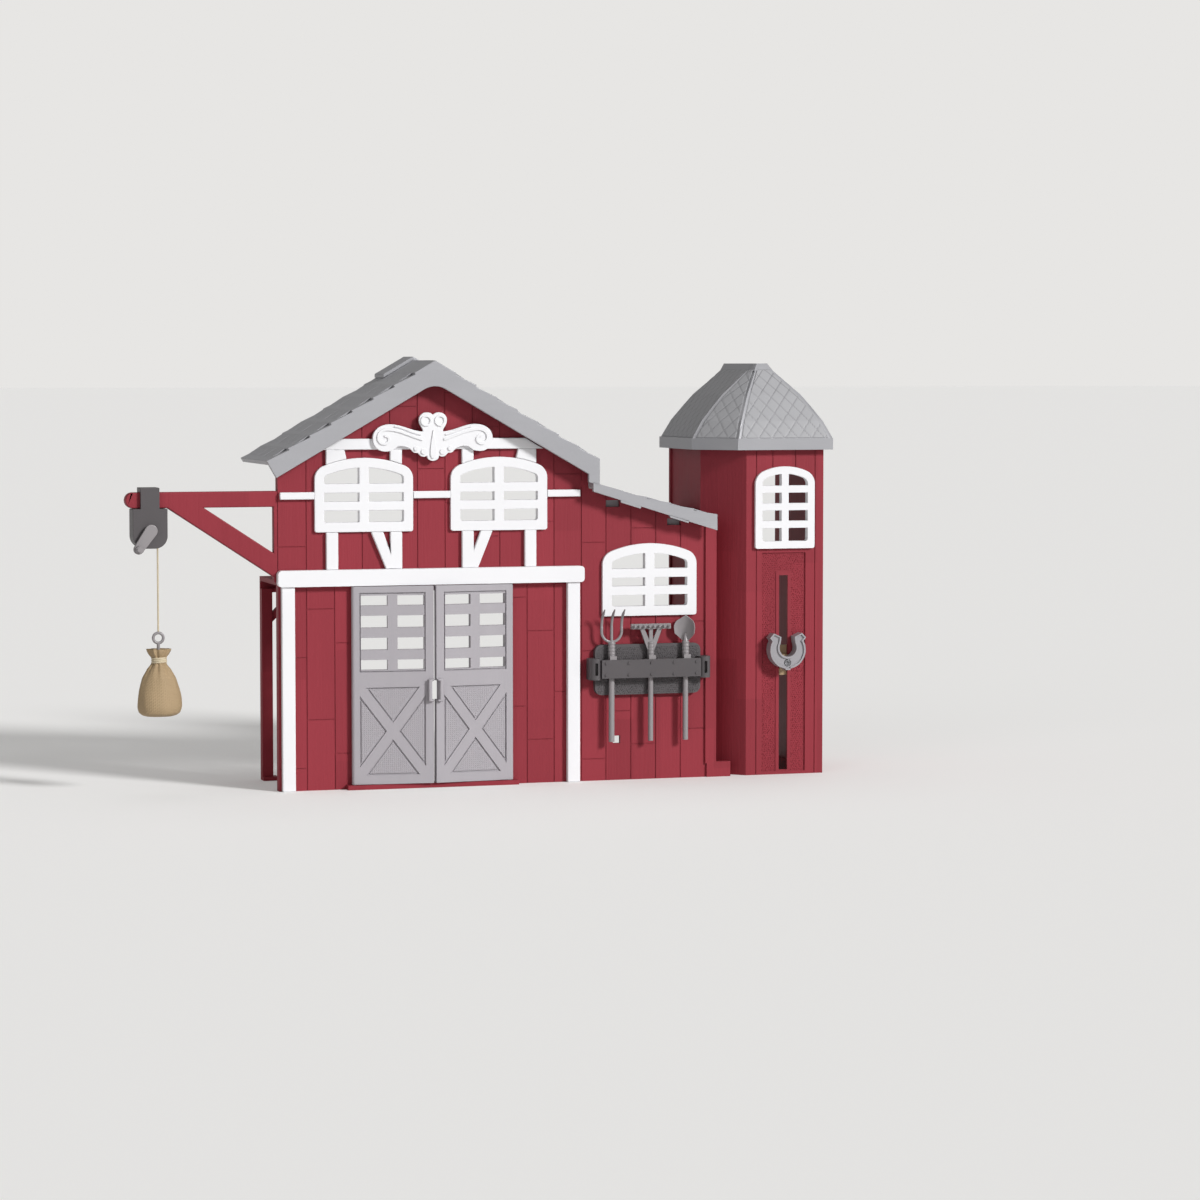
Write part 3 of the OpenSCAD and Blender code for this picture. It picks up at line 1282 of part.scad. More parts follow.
// Sack tied at the neck: oval rings that swell, draw in and flare again
sack_top = rope_bottom - 2 * ring_r - 2 * ring_t - 1.5;
stem_low = rope_bottom - 2 * ring_r - ring_t - stem_len;
function sack_ring(z, rx, ry, sway) =
    [for (i = [0 : 23]) let (a = -i * 15, fold = 1 + sway * cos(5 * a + 20)) [rx * fold * cos(a), ry * fold * sin(a), z]];
module sack() {
    h = sack_h;
    levels = [[0, 9.5, 7, 0.02], [0.03, 12.6, 9.6, 0.03], [0.14, 14, 11, 0.03], [0.34, 13.2, 10.4, 0.03],
        [0.55, 10.6, 8.6, 0.04], [0.7, 6.8, 6, 0.06], [0.77, 4.2, 3.9, 0.07], [0.82, 4.1, 3.8, 0.07],
        [0.9, 6.4, 5.4, 0.12], [0.97, 7.4, 6, 0.14]];
    placed() color(tan) translate([rope_x, crane_mid, sack_top - h]) difference() {
        loft([for (l = levels) sack_ring(l[0] * h, l[1], l[2], l[3])]);
        translate([0, 0, stem_low - sack_top + h]) cylinder(r = stem_r + 0.03, h = stem_len);
    }
}

// ---- fasteners ----

module wall_screw(len) {
    difference() {
        union() {
            cylinder(r = 2.4, h = 1.4);
            translate([0, 0, -len]) cylinder(r = screw_r, h = len);
        }
        for (a = [0, 90]) rotate(a) translate([-1.4, -0.3, 0.8]) cube([2.8, 0.6, 1]);
    }
}
module wall_screws() {
    placed() color(steel) {
        for (z = screw_zs)
            translate([barn_w - wall_t - flange_w / 2, wall_t + silo_t, z]) rotate([-90, 0, 0]) wall_screw(silo_t + 2);
        for (side = [-1, 1])
            translate([rack_x + side * 14, wall_t, rack_z + 4]) rotate([-90, 0, 0]) wall_screw(wall_t + 2.6);
    }
}

front_wall();
lean_wall();
partition_wall();
loft_floor();
loft_post();
main_roof();
lean_roof();
ridge_cap();
header_beam();
left_post();
right_post();
tie_beam();
mid_rail();
left_timbers();
right_timbers();
gable_scroll();
left_loft_window();
right_loft_window();
lean_window();
door_sill();
left_door();
right_door();
left_pull();
right_pull();
tool_rack();
fork();
rake();
shovel();
silo_shell();
silo_base();
silo_roof();
silo_window();
lift_rails();
lift_deck();
lift_slider();
lift_handle();
lift_screw();
crane_arm();
winch_housing();
winch_drum();
crank_arm();
crank_knob();
hoist_rope();
sack();
sack_hook();
wall_screws();
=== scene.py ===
import json
import math
import random

import bmesh
import bpy
from mathutils import Matrix, Vector


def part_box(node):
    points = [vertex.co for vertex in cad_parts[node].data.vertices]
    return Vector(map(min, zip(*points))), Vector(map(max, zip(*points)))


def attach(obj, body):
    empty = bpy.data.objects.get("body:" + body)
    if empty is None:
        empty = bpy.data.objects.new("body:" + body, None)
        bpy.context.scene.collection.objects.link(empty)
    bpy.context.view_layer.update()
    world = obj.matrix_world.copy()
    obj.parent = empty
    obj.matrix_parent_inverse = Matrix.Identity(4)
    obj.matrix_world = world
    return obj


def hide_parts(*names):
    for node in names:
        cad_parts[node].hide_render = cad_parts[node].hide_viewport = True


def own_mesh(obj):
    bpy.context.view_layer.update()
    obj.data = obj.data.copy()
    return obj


print("loading the frame")
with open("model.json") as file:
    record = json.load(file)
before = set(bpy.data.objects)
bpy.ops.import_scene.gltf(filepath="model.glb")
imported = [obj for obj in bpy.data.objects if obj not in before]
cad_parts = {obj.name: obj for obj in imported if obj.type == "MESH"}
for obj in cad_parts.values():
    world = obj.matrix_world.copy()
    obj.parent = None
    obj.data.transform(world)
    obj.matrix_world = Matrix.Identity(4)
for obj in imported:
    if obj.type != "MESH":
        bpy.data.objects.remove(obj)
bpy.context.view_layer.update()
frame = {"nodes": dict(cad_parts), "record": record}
bodyOf = {node: body for body, nodes in frame["record"]["behaviour"]["bodies"].items() for node in nodes}
slotOf = {part["node"]: part["material_slot"] for part in frame["record"]["subparts"]}
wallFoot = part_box("front_wall")[0]  # left foot of the main wall, at its front face
scene = bpy.context.scene


def at(x, y, z):  # a place in millimetres from the left foot of the main wall
    return Vector((wallFoot.x + x / 1000, wallFoot.y + y / 1000, z / 1000))


# Camera
view = {"eye": (-470.0, -2237.6, 272.0), "turn": 17.0, "dip": 3.75, "lens": 107.58}
camera = bpy.data.objects.new("camera", bpy.data.cameras.new("camera"))
scene.collection.objects.link(camera)
camera.data.lens = view["lens"]
camera.data.sensor_width = 36
camera.location = at(*view["eye"])
camera.rotation_euler = (math.radians(90 - view["dip"]), 0, math.radians(-view["turn"]))
scene.camera = camera
scene.view_settings.view_transform = "Standard"


def nodeIn(tree, kind, inputs=None, **settings):
    node = tree.nodes.new(kind)
    for key, value in settings.items():
        setattr(node, key, value)
    for key, value in (inputs or {}).items():
        if isinstance(value, bpy.types.NodeSocket):
            tree.links.new(value, node.inputs[key])
        else:
            node.inputs[key].default_value = value
    return node


def newGroup(name, kind, inputs, outputs):
    tree = bpy.data.node_groups.new(name, kind)
    for label, socket, value in inputs:
        made = tree.interface.new_socket(label, in_out="INPUT", socket_type=socket)
        if value is not None:
            made.default_value = value
    for label, socket in outputs:
        tree.interface.new_socket(label, in_out="OUTPUT", socket_type=socket)
    return tree, tree.nodes.new("NodeGroupInput").outputs, tree.nodes.new("NodeGroupOutput").inputs


def maths(tree, operation, a, b=0.0, c=0.0):
    return nodeIn(tree, "ShaderNodeMath", {0: a, 1: b, 2: c}, operation=operation).outputs[0]


def blended(tree, tone, other, share):  # a tone with a share of another in it
    return maths(tree, "ADD", maths(tree, "MULTIPLY", tone, 1 - share), maths(tree, "MULTIPLY", other, share))


def bumped(tree, height, depth, below=None):  # relief of a depth in millimetres, over the relief below it
    inputs = {"Height": height, "Distance": depth / 1000, "Strength": 1.0}
    if below is not None:
        inputs["Normal"] = below
    return nodeIn(tree, "ShaderNodeBump", inputs).outputs[0]


# Shader effects shared by the finishes
def makeGrainGroup():  # wood grain drawn out along one direction, moulded into the plastic
    tree, given, out = newGroup("woodGrain", "ShaderNodeTree",
        [("Stretch", "NodeSocketVector", (700, 700, 40)), ("Streaks", "NodeSocketFloat", 0.6)],
        [("Height", "NodeSocketFloat"), ("Tone", "NodeSocketFloat")])
    place = nodeIn(tree, "ShaderNodeTexCoord").outputs["Object"]
    drawn = nodeIn(tree, "ShaderNodeMapping", {"Vector": place, "Scale": given["Stretch"]}).outputs[0]
    fine = nodeIn(tree, "ShaderNodeTexNoise", {"Vector": drawn, "Scale": 1.0, "Detail": 5.0, "Roughness": 0.62,
        "Distortion": 0.4}).outputs[0]
    broad = nodeIn(tree, "ShaderNodeTexNoise", {"Vector": drawn, "Scale": 0.22, "Detail": 2.0}).outputs[0]
    rings = maths(tree, "PINGPONG", maths(tree, "MULTIPLY", broad, 9.0), 0.5)
    mixed = maths(tree, "MULTIPLY_ADD", rings, given["Streaks"], fine)
    tree.links.new(mixed, out["Height"])
    tree.links.new(broad, out["Tone"])
    return tree


def makeSkinGroup():  # fine spark-eroded skin of a mould
    tree, given, out = newGroup("mouldSkin", "ShaderNodeTree",
        [("Scale", "NodeSocketFloat", 1800.0)], [("Height", "NodeSocketFloat"), ("Tone", "NodeSocketFloat")])
    place = nodeIn(tree, "ShaderNodeTexCoord").outputs["Object"]
    fine = nodeIn(tree, "ShaderNodeTexNoise", {"Vector": place, "Scale": given["Scale"], "Detail": 2.0}).outputs[0]
    cloud = nodeIn(tree, "ShaderNodeTexNoise", {"Vector": place, "Scale": 22.0, "Detail": 3.0}).outputs[0]
    tree.links.new(fine, out["Height"])
    tree.links.new(cloud, out["Tone"])
    return tree


def makePlankGroup():  # each plank of a wall a little lighter or darker than the next
    tree, given, out = newGroup("plankTone", "ShaderNodeTree",
        [("Start", "NodeSocketFloat", 0.0), ("Width", "NodeSocketFloat", 0.018)], [("Tone", "NodeSocketFloat")])
    place = nodeIn(tree, "ShaderNodeTexCoord").outputs["Object"]
    part = nodeIn(tree, "ShaderNodeSeparateXYZ", {0: place}).outputs
    fromStart = maths(tree, "SUBTRACT", part[0], given["Start"])
    column = maths(tree, "FLOOR", maths(tree, "DIVIDE", fromStart, given["Width"]))
    row = maths(tree, "FLOOR", maths(tree, "MULTIPLY_ADD", part[2], 14.0, maths(tree, "MULTIPLY", column, 0.37)))
    board = nodeIn(tree, "ShaderNodeCombineXYZ", {0: column, 1: row}).outputs[0]
    chance = nodeIn(tree, "ShaderNodeTexWhiteNoise", {"Vector": board}, noise_dimensions="2D").outputs[0]
    tree.links.new(chance, out["Tone"])
    return tree


def makeWeaveGroup():  # crossing threads, one to each unit of a piece's own UV map
    tree, given, out = newGroup("coarseWeave", "ShaderNodeTree",
        [("Map", "NodeSocketVector", None)], [("Height", "NodeSocketFloat")])
    part = nodeIn(tree, "ShaderNodeSeparateXYZ", {0: given["Map"]}).outputs
    turns = [maths(tree, "MULTIPLY", part[i], math.pi) for i in (0, 1)]
    cell = maths(tree, "ADD", maths(tree, "FLOOR", part[0]), maths(tree, "FLOOR", part[1]))
    over = maths(tree, "MODULO", maths(tree, "ABSOLUTE", cell), 2.0)
    warp, weft = [maths(tree, "ABSOLUTE", maths(tree, "SINE", turn)) for turn in turns]
    height = nodeIn(tree, "ShaderNodeMix", {0: over, 2: warp, 3: weft}, data_type="FLOAT").outputs[0]
    tree.links.new(height, out["Height"])
    return tree


grainGroup, skinGroup, plankGroup = makeGrainGroup(), makeSkinGroup(), makePlankGroup()
weaveGroup = makeWeaveGroup()
toneUse = {"grain": 0.5, "planks": 0.45, "from": 0.2, "to": 0.8, "roughness": 0.06}


# Depths are in millimetres, and planks say where they start and how wide they are, in metres
def plastic(name, color, rough, skin=1800.0, skinDepth=0.02, grain=None, grainDepth=0.06, planks=None, metal=0.0,
            spread=0.09, sheen=0.5, weave=0.0, grooveShade=0.0):
    material = bpy.data.materials.new(name)
    material.use_nodes = True
    tree = material.node_tree
    tree.nodes.clear()
    mould = nodeIn(tree, "ShaderNodeGroup", node_tree=skinGroup)
    mould.inputs["Scale"].default_value = skin
    tone = mould.outputs["Tone"]
    if grain:
        wood = nodeIn(tree, "ShaderNodeGroup", node_tree=grainGroup)
        wood.inputs["Stretch"].default_value = grain
        tone = blended(tree, tone, wood.outputs["Tone"], toneUse["grain"])
    if planks:
        plank = nodeIn(tree, "ShaderNodeGroup", node_tree=plankGroup)
        plank.inputs["Start"].default_value, plank.inputs["Width"].default_value = planks
        tone = blended(tree, tone, plank.outputs["Tone"], toneUse["planks"])
    low = [c * (1 - spread) for c in color] + [1]
    high = [min(1, c * (1 + spread)) for c in color] + [1]
    mix = nodeIn(tree, "ShaderNodeMix", {0: tone, 6: low, 7: high}, data_type="RGBA")
    if grooveShade:  # painted shade: the colour is darkened in the grooves that the mesh marks, where the relief is low
        raised = nodeIn(tree, "ShaderNodeAttribute", attribute_name="raised").outputs["Fac"]
        # depth and deep carry the painted shade, darker where the relief is low
        depth = maths(tree, "ADD", maths(tree, "MULTIPLY", raised, grooveShade), 1 - grooveShade)
        deep = nodeIn(tree, "ShaderNodeVectorMath", {0: mix.outputs[2], 3: depth}, operation="SCALE")
        mix = nodeIn(tree, "ShaderNodeMix", {0: 1.0, 6: mix.outputs[2], 7: deep.outputs[0]}, data_type="RGBA")
    roughness = nodeIn(tree, "ShaderNodeMapRange", {"Value": tone, "From Min": toneUse["from"],
        "From Max": toneUse["to"], "To Min": rough - toneUse["roughness"],
        "To Max": rough + toneUse["roughness"]}).outputs[0]
    relief = bumped(tree, mould.outputs["Height"], skinDepth)
    if grain:
        relief = bumped(tree, wood.outputs["Height"], grainDepth, relief)
    if weave:
        threads = nodeIn(tree, "ShaderNodeGroup", node_tree=weaveGroup)
        tree.links.new(nodeIn(tree, "ShaderNodeUVMap").outputs[0], threads.inputs["Map"])
        relief = bumped(tree, threads.outputs[0], weave, relief)
    shader = nodeIn(tree, "ShaderNodeBsdfPrincipled", {"Base Color": mix.outputs[2], "Roughness": roughness,
        "Normal": relief, "Metallic": metal, "Specular IOR Level": sheen})
    nodeIn(tree, "ShaderNodeOutputMaterial", {"Surface": shader.outputs[0]})
    return material


def backdrop(name, color, lift):  # paper that the camera sees a little brighter than it is lit
    material = bpy.data.materials.new(name)
    material.use_nodes = True
    tree = material.node_tree
    tree.nodes.clear()
    seen = nodeIn(tree, "ShaderNodeLightPath").outputs["Is Camera Ray"]
    diffuse = nodeIn(tree, "ShaderNodeBsdfDiffuse", {"Color": (*color, 1)})
    glow = nodeIn(tree, "ShaderNodeEmission", {"Color": (1, 1, 1, 1), "Strength": maths(tree, "MULTIPLY", seen, lift)})
    both = nodeIn(tree, "ShaderNodeAddShader", {0: diffuse.outputs[0], 1: glow.outputs[0]})
    nodeIn(tree, "ShaderNodeOutputMaterial", {"Surface": both.outputs[0]})
    return material


print("building finishes")
wallStart = at(0, 0, 0).x
finish = {
    "red": plastic("redPlanks", (0.262, 0.030, 0.043), 0.52, grain=(520, 520, 26), grainDepth=0.10,
        planks=(wallStart, 0.01827), spread=0.16, sheen=0.2),
    "white": plastic("whiteTrim", (0.80, 0.80, 0.82), 0.42, skin=1500, spread=0.03),
    "roof_grey": plastic("roofGrey", (0.36, 0.36, 0.38), 0.4, skin=1500, grain=(60, 420, 420), grainDepth=0.05,
        spread=0.07, metal=0.1),
    "door_grey": plastic("doorGrey", (0.37, 0.35, 0.375), 0.48, skin=1600, grain=(700, 700, 60), grainDepth=0.05,
        spread=0.06),
    "pale_grey": plastic("horseshoeGrey", (0.33, 0.32, 0.34), 0.38, skin=1300, skinDepth=0.04, spread=0.08, metal=0.1),
    "rack_grey": plastic("rackGrey", (0.08, 0.072, 0.076), 0.44, skin=1100, skinDepth=0.05, spread=0.1),
    # the silo roof's grooves get painted shade in their colour
    "bell_grey": plastic("siloRoofGrey", (0.36, 0.36, 0.375), 0.5, skin=1500, spread=0.08, sheen=0.3, grooveShade=0.55),
    "tool_grey": plastic("toolGrey", (0.28, 0.262, 0.27), 0.4, skin=1400, spread=0.1, metal=0.15),
    "tan": plastic("tanPlastic", (0.46, 0.34, 0.20), 0.55, skin=1200, spread=0.1),
    "sackTan": plastic("sackWeave", (0.40, 0.285, 0.16), 0.62, skin=1400, spread=0.14, weave=0.16),
    "cord": plastic("hempCord", (0.56, 0.48, 0.34), 0.85, skin=3000, skinDepth=0.05, spread=0.2),
    "screw_steel": plastic("zincScrew", (0.27, 0.27, 0.285), 0.3, skin=2500, skinDepth=0.004, spread=0.05, metal=1.0),
}


# Every moulded piece gets the soft edges of a real moulding, with radii in millimetres
edgeRadius = {"front_wall": 0.22, "lean_wall": 0.22, "silo_shell": 0.22, "header_beam": 0.7, "left_post": 0.7,
    "right_post": 0.7, "tie_beam": 0.6, "mid_rail": 0.5, "left_timbers": 0.6, "right_timbers": 0.6,
    "gable_scroll": 0.35, "left_loft_window": 0.5, "right_loft_window": 0.5, "lean_window": 0.5, "silo_window": 0.5,
    "left_door": 0.3, "right_door": 0.3, "left_pull": 0.6, "right_pull": 0.6, "tool_rack": 0.4, "main_roof": 0.4,
    "lean_roof": 0.4, "ridge_cap": 0.5, "lift_handle": 0.35, "winch_housing": 0.5, "crane_arm": 0.7, "crank_arm": 0.4,
    "lift_slider": 0.3, "lift_deck": 0.2, "wall_screws": 0.1, "lift_screw": 0.1, "fork": 0.15, "rake": 0.15,
    "shovel": 0.15, "silo_roof": 0.2}


def withoutDoubles(mesh):
    closest, flattest = 4e-6, math.radians(0.6)
    work = bmesh.new()
    work.from_mesh(mesh)
    bmesh.ops.remove_doubles(work, verts=work.verts, dist=closest)
    bmesh.ops.dissolve_degenerate(work, dist=closest, edges=work.edges)
    bmesh.ops.dissolve_limit(work, angle_limit=flattest, verts=work.verts, edges=work.edges)
    work.to_mesh(mesh)
    work.free()


def meshOf(name, work):  # closed, with its faces outwards
    bmesh.ops.recalc_face_normals(work, faces=work.faces)
    mesh = bpy.data.meshes.new(name)
    work.to_mesh(mesh)
    work.free()
    return mesh


def baked(obj):  # the modifiers' result as a plain mesh
    bpy.context.view_layer.update()
    made = bpy.data.meshes.new_from_object(obj.evaluated_get(bpy.context.evaluated_depsgraph_get()))
    obj.modifiers.clear()
    obj.data = made
    return obj


# Two pieces change a little before their edges are softened; split and left are shares, the rest is in millimetres
cap = {"split": 0.55, "top": 0.6, "topIn": 3.6, "topBack": 4.4, "foot": 5.3, "footIn": 0.8, "footBack": 0.8,
    "rear": 1.0}
clips = {"places": ((223.0, 180.5), (265.0, 168.0)), "near": 2.0, "far": 5.5, "half": 5.2, "wider": 0.9, "hooks": 2.5,
    "back": 2.2, "end": (206.2, 1.0), "left": 0.05}


def drawnIn(point, low, high):  # the ridge cap of the silo follows the slope of its faces up to the top
    side = 1 if point.x > low.x + (high.x - low.x) * cap["split"] else -1
    for part in ("top", "foot"):
        if point.z > high.z - cap[part] / 1000:
            point.x -= side * cap[part + "In"] / 1000
            if point.y < high.y - cap["rear"] / 1000:
                point.y += cap[part + "Back"] / 1000
            return


def hooksBack(point, low, high):  # the lean-to roof's hooks fill their slots, deep in the shade
    if at(0, clips["near"], 0).y < point.y < at(0, clips["far"], 0).y:
        for middle, foot in clips["places"]:
            aside = point.x - at(middle, 0, 0).x
            if abs(aside) < clips["half"] / 1000:
                point.x += math.copysign(clips["wider"] / 1000, aside)
                if point.z < foot / 1000:
                    point.z -= clips["wider"] / 1000
                if point.y < at(0, clips["hooks"], 0).y:
                    point.y += clips["back"] / 1000
    end = at(*clips["end"], 0)
    if point.x < end.x and point.y < end.y:  # its upper end stays behind the main roof's edge
        point.x = end.x + (point.x - end.x) * clips["left"]


reshaped = {"silo_roof": drawnIn, "lean_roof": hooksBack}
softEdge = {"segments": 2, "from": 28.0}  # turns sharper than this many degrees are rounded


def softened(node, radius):
    mesh = frame["nodes"][node].data.copy()
    withoutDoubles(mesh)
    if node in reshaped:
        low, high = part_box(node)
        for vertex in mesh.vertices:
            reshaped[node](vertex.co, low, high)
        turned = bmesh.new()
        turned.from_mesh(mesh)
        bmesh.ops.recalc_face_normals(turned, faces=turned.faces)
        turned.to_mesh(mesh)
        turned.free()
    for face in mesh.polygons:
        face.use_smooth = True
    obj = bpy.data.objects.new(node + "Moulded", mesh)
    scene.collection.objects.link(obj)
    bevel = obj.modifiers.new("edges", "BEVEL")
    bevel.width, bevel.segments = radius / 1000, softEdge["segments"]
    bevel.limit_method, bevel.angle_limit = "ANGLE", math.radians(softEdge["from"])
    obj.modifiers.new("normals", "WEIGHTED_NORMAL").keep_sharp = True
    baked(obj)
    obj.data.materials.clear()
    obj.data.materials.append(finish[slotOf[node]])
    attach(obj, bodyOf[node])
    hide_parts(node)


print("softening the mouldings")
for node, obj in frame["nodes"].items():
    obj.data.materials.clear()
    obj.data.materials.append(finish[slotOf[node]])
for node, radius in edgeRadius.items():
    softened(node, radius)


# Shingle courses: one tree lays rows of tiles on a slope, every second row shifted by half a tile
def tileTree():
    tree, given, out = newGroup("tileCourses", "GeometryNodeTree",
        [("Geometry", "NodeSocketGeometry", None), ("Tile", "NodeSocketObject", None), ("Across", "NodeSocketInt", 8),
         ("Courses", "NodeSocketInt", 8), ("Tile Width", "NodeSocketFloat", 0.01),
         ("Course Length", "NodeSocketFloat", 0.016), ("Place", "NodeSocketVector", (0, 0, 0)),
         ("Turn", "NodeSocketRotation", None), ("Tilt", "NodeSocketFloat", 0.0), ("Seed", "NodeSocketInt", 3),
         ("Material", "NodeSocketMaterial", None)],
        [("Geometry", "NodeSocketGeometry")])
    sizeX = maths(tree, "MULTIPLY", maths(tree, "SUBTRACT", given["Across"], 1.0), given["Tile Width"])
    sizeY = maths(tree, "MULTIPLY", maths(tree, "SUBTRACT", given["Courses"], 1.0), given["Course Length"])
    grid = nodeIn(tree, "GeometryNodeMeshGrid", {"Size X": sizeX, "Size Y": sizeY, "Vertices X": given["Across"],
        "Vertices Y": given["Courses"]}).outputs["Mesh"]
    index = nodeIn(tree, "GeometryNodeInputIndex").outputs[0]
    row = maths(tree, "MODULO", index, given["Courses"])
    odd = maths(tree, "SUBTRACT", maths(tree, "MODULO", row, 2.0), 0.5)
    shift = nodeIn(tree, "ShaderNodeCombineXYZ",
        {0: maths(tree, "MULTIPLY", odd, maths(tree, "MULTIPLY", given["Tile Width"], 0.5))}).outputs[0]
    moved = nodeIn(tree, "GeometryNodeSetPosition", {"Geometry": grid, "Offset": shift}).outputs[0]
    tile = nodeIn(tree, "GeometryNodeObjectInfo", {"Object": given["Tile"]}).outputs["Geometry"]
    smallest, largest = (0.93, 0.985, 0.75), (0.98, 1.0, 1.1)  # width, length and thickness of a tile
    size = nodeIn(tree, "FunctionNodeRandomValue", {0: smallest, 1: largest, "Seed": given["Seed"]},
        data_type="FLOAT_VECTOR").outputs[0]
    tilt = nodeIn(tree, "ShaderNodeCombineXYZ", {0: given["Tilt"]}).outputs[0]
    laid = nodeIn(tree, "GeometryNodeInstanceOnPoints", {"Points": moved, "Instance": tile, "Rotation": tilt,
        "Scale": size}).outputs[0]
    placed = nodeIn(tree, "GeometryNodeTransform", {"Geometry": laid, "Translation": given["Place"],
        "Rotation": given["Turn"]}).outputs[0]
    solid = nodeIn(tree, "GeometryNodeRealizeInstances", {0: placed}).outputs[0]
    painted = nodeIn(tree, "GeometryNodeSetMaterial", {"Geometry": solid, "Material": given["Material"]}).outputs[0]
    tree.links.new(painted, out["Geometry"])
    return tree


def grown(name, tree, values, source=None):  # a plain mesh made by a node tree
    obj = bpy.data.objects.new(name, source or bpy.data.meshes.new(name))
    scene.collection.objects.link(obj)
    modifier = obj.modifiers.new("nodes", "NODES")
    modifier.node_group = tree
    for item in tree.interface.items_tree:
        if item.item_type == "SOCKET" and item.in_out == "INPUT" and item.name in values:
            modifier[item.identifier] = values[item.name]
    return baked(obj)


# heights as shares of a tile's thickness and places across it as shares of its half width, nickHalf in millimetres
tileForm = {"rows": 7, "head": 0.25, "foot": 0.55, "footWidth": 0.97, "shoulder": 0.9, "shoulderFoot": 0.8, "nick": 0.3,
    "nickFloor": 0.72, "nickHalf": 0.4, "root": 0.7}


def tileMesh(name, width, length, thick):  # a split shake: thin at its head, ragged and rounded at its foot
    work = bmesh.new()
    last = tileForm["rows"] - 1
    nickHalf, root = tileForm["nickHalf"] / 1000, -thick * tileForm["root"]
    rows = []
    for j in range(tileForm["rows"]):
        v = j / last
        lift = thick * (tileForm["head"] + (1 - tileForm["head"]) * v if j < last else tileForm["foot"])
        half = width / 2 * (1.0 if j < last else tileForm["footWidth"])
        y = -length * (v - 0.5)
        nick, shoulder, low = -half * tileForm["nick"], half * tileForm["shoulder"], lift * tileForm["shoulderFoot"]
        outline = ((-half, root), (-half, low), (-shoulder, lift), (nick, lift),
            (nick + nickHalf, lift * tileForm["nickFloor"]), (nick + 2 * nickHalf, lift),
            (shoulder, lift), (half, low), (half, root))
        rows.append([work.verts.new((x, y, z)) for x, z in outline])
    for a, b in zip(rows, rows[1:]):
        for k in range(len(a)):
            work.faces.new((a[k], a[(k + 1) % len(a)], b[(k + 1) % len(a)], b[k]))
    work.faces.new(rows[0])
    work.faces.new(list(reversed(rows[-1])))
    return bpy.data.objects.new(name, meshOf(name, work))


print("laying the shingles")
shakes = {"thick": 0.9, "across": 9, "depth": 80.6, "front": -8.8, "lip": 1.3, "sink": 0.75}
# top edge of each slope, its pitch, level run, courses and the way it falls
slopes = {"rightShakes": ("main_roof", 100.5, 275.0, 30.0, 110.0, 8, 1),
    "leftShakes": ("main_roof", 100.5, 275.0, 30.0, 110.0, 8, -1),
    "leanShakes": ("lean_roof", 210.5, 194.2, 13.9, 80.5, 5, 1)}
tiles = tileTree()
for name, (node, topX, topZ, pitch, level, courses, side) in slopes.items():
    slant = math.radians(pitch)
    courseLength = level / math.cos(slant) / courses
    across = shakes["across"]
    width = shakes["depth"] / (across + 0.5)
    shake = tileMesh(name + "Tile", width / 1000, courseLength / 1000, shakes["thick"] / 1000)
    turn = Matrix.Rotation(slant * side, 4, "Y") @ Matrix.Rotation(math.radians(90 * side), 4, "Z")
    up = Vector((math.sin(slant) * side, 0, math.cos(slant)))
    middle = at(topX + side * level / 2, shakes["front"] + shakes["depth"] / 2, topZ - level / 2 * math.tan(slant))
    obj = grown(name, tiles, {"Tile": shake, "Across": across, "Courses": courses, "Tile Width": width / 1000,
        "Course Length": courseLength / 1000, "Place": middle - up * shakes["sink"] / 1000, "Turn": turn.to_euler(),
        "Tilt": math.atan(shakes["lip"] / courseLength), "Seed": len(name), "Material": finish["roof_grey"]})
    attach(obj, bodyOf[node])


# The silo roof's faces carry diamond shingles between their ribs
def reliefTree():
    tree, given, out = newGroup("diamondShingles", "GeometryNodeTree",
        [("Geometry", "NodeSocketGeometry", None), ("Pitch", "NodeSocketFloat", 0.0093),
         ("Lean", "NodeSocketFloat", 0.75), ("Depth", "NodeSocketFloat", 0.00036), ("Groove", "NodeSocketFloat", 0.05),
         ("Sink", "NodeSocketFloat", 0.0001), ("Material", "NodeSocketMaterial", None)],
        [("Geometry", "NodeSocketGeometry")])
    across, along, height = [nodeIn(tree, "GeometryNodeInputNamedAttribute", {"Name": name},
        data_type="FLOAT").outputs[0] for name in ("across", "along", "inside")]
    leaning = maths(tree, "MULTIPLY", along, given["Lean"])
    for operation, low in (("SUBTRACT", 0.0), ("ADD", 0.25)):  # the second set of grooves is the shallower one
        line = maths(tree, "DIVIDE", maths(tree, operation, across, leaning), given["Pitch"])
        apart = maths(tree, "PINGPONG", line, 0.5)
        raised = nodeIn(tree, "ShaderNodeMapRange", {"Value": apart, "From Max": given["Groove"], "To Min": low,
            "To Max": 1.0}, interpolation_type="SMOOTHSTEP").outputs[0]
        height = maths(tree, "MULTIPLY", height, raised)
    rise = maths(tree, "SUBTRACT", maths(tree, "MULTIPLY", height, given["Depth"]), given["Sink"])
    offset = nodeIn(tree, "ShaderNodeVectorMath", {0: nodeIn(tree, "GeometryNodeInputNormal").outputs[0], 3: rise},
        operation="SCALE").outputs[0]
    moved = nodeIn(tree, "GeometryNodeSetPosition", {"Geometry": given["Geometry"], "Offset": offset}).outputs[0]
    # the relief height is kept as raised, and the material paints shade into the grooves from it
    marked = nodeIn(tree, "GeometryNodeStoreNamedAttribute", {"Geometry": moved, "Name": "raised", 3: height},
        data_type="FLOAT", domain="POINT").outputs[0]
    solid = nodeIn(tree, "GeometryNodeRealizeInstances", {0: marked}).outputs[0]
    painted = nodeIn(tree, "GeometryNodeSetMaterial", {"Geometry": solid, "Material": given["Material"]}).outputs[0]
    tree.links.new(painted, out["Geometry"])
    return tree


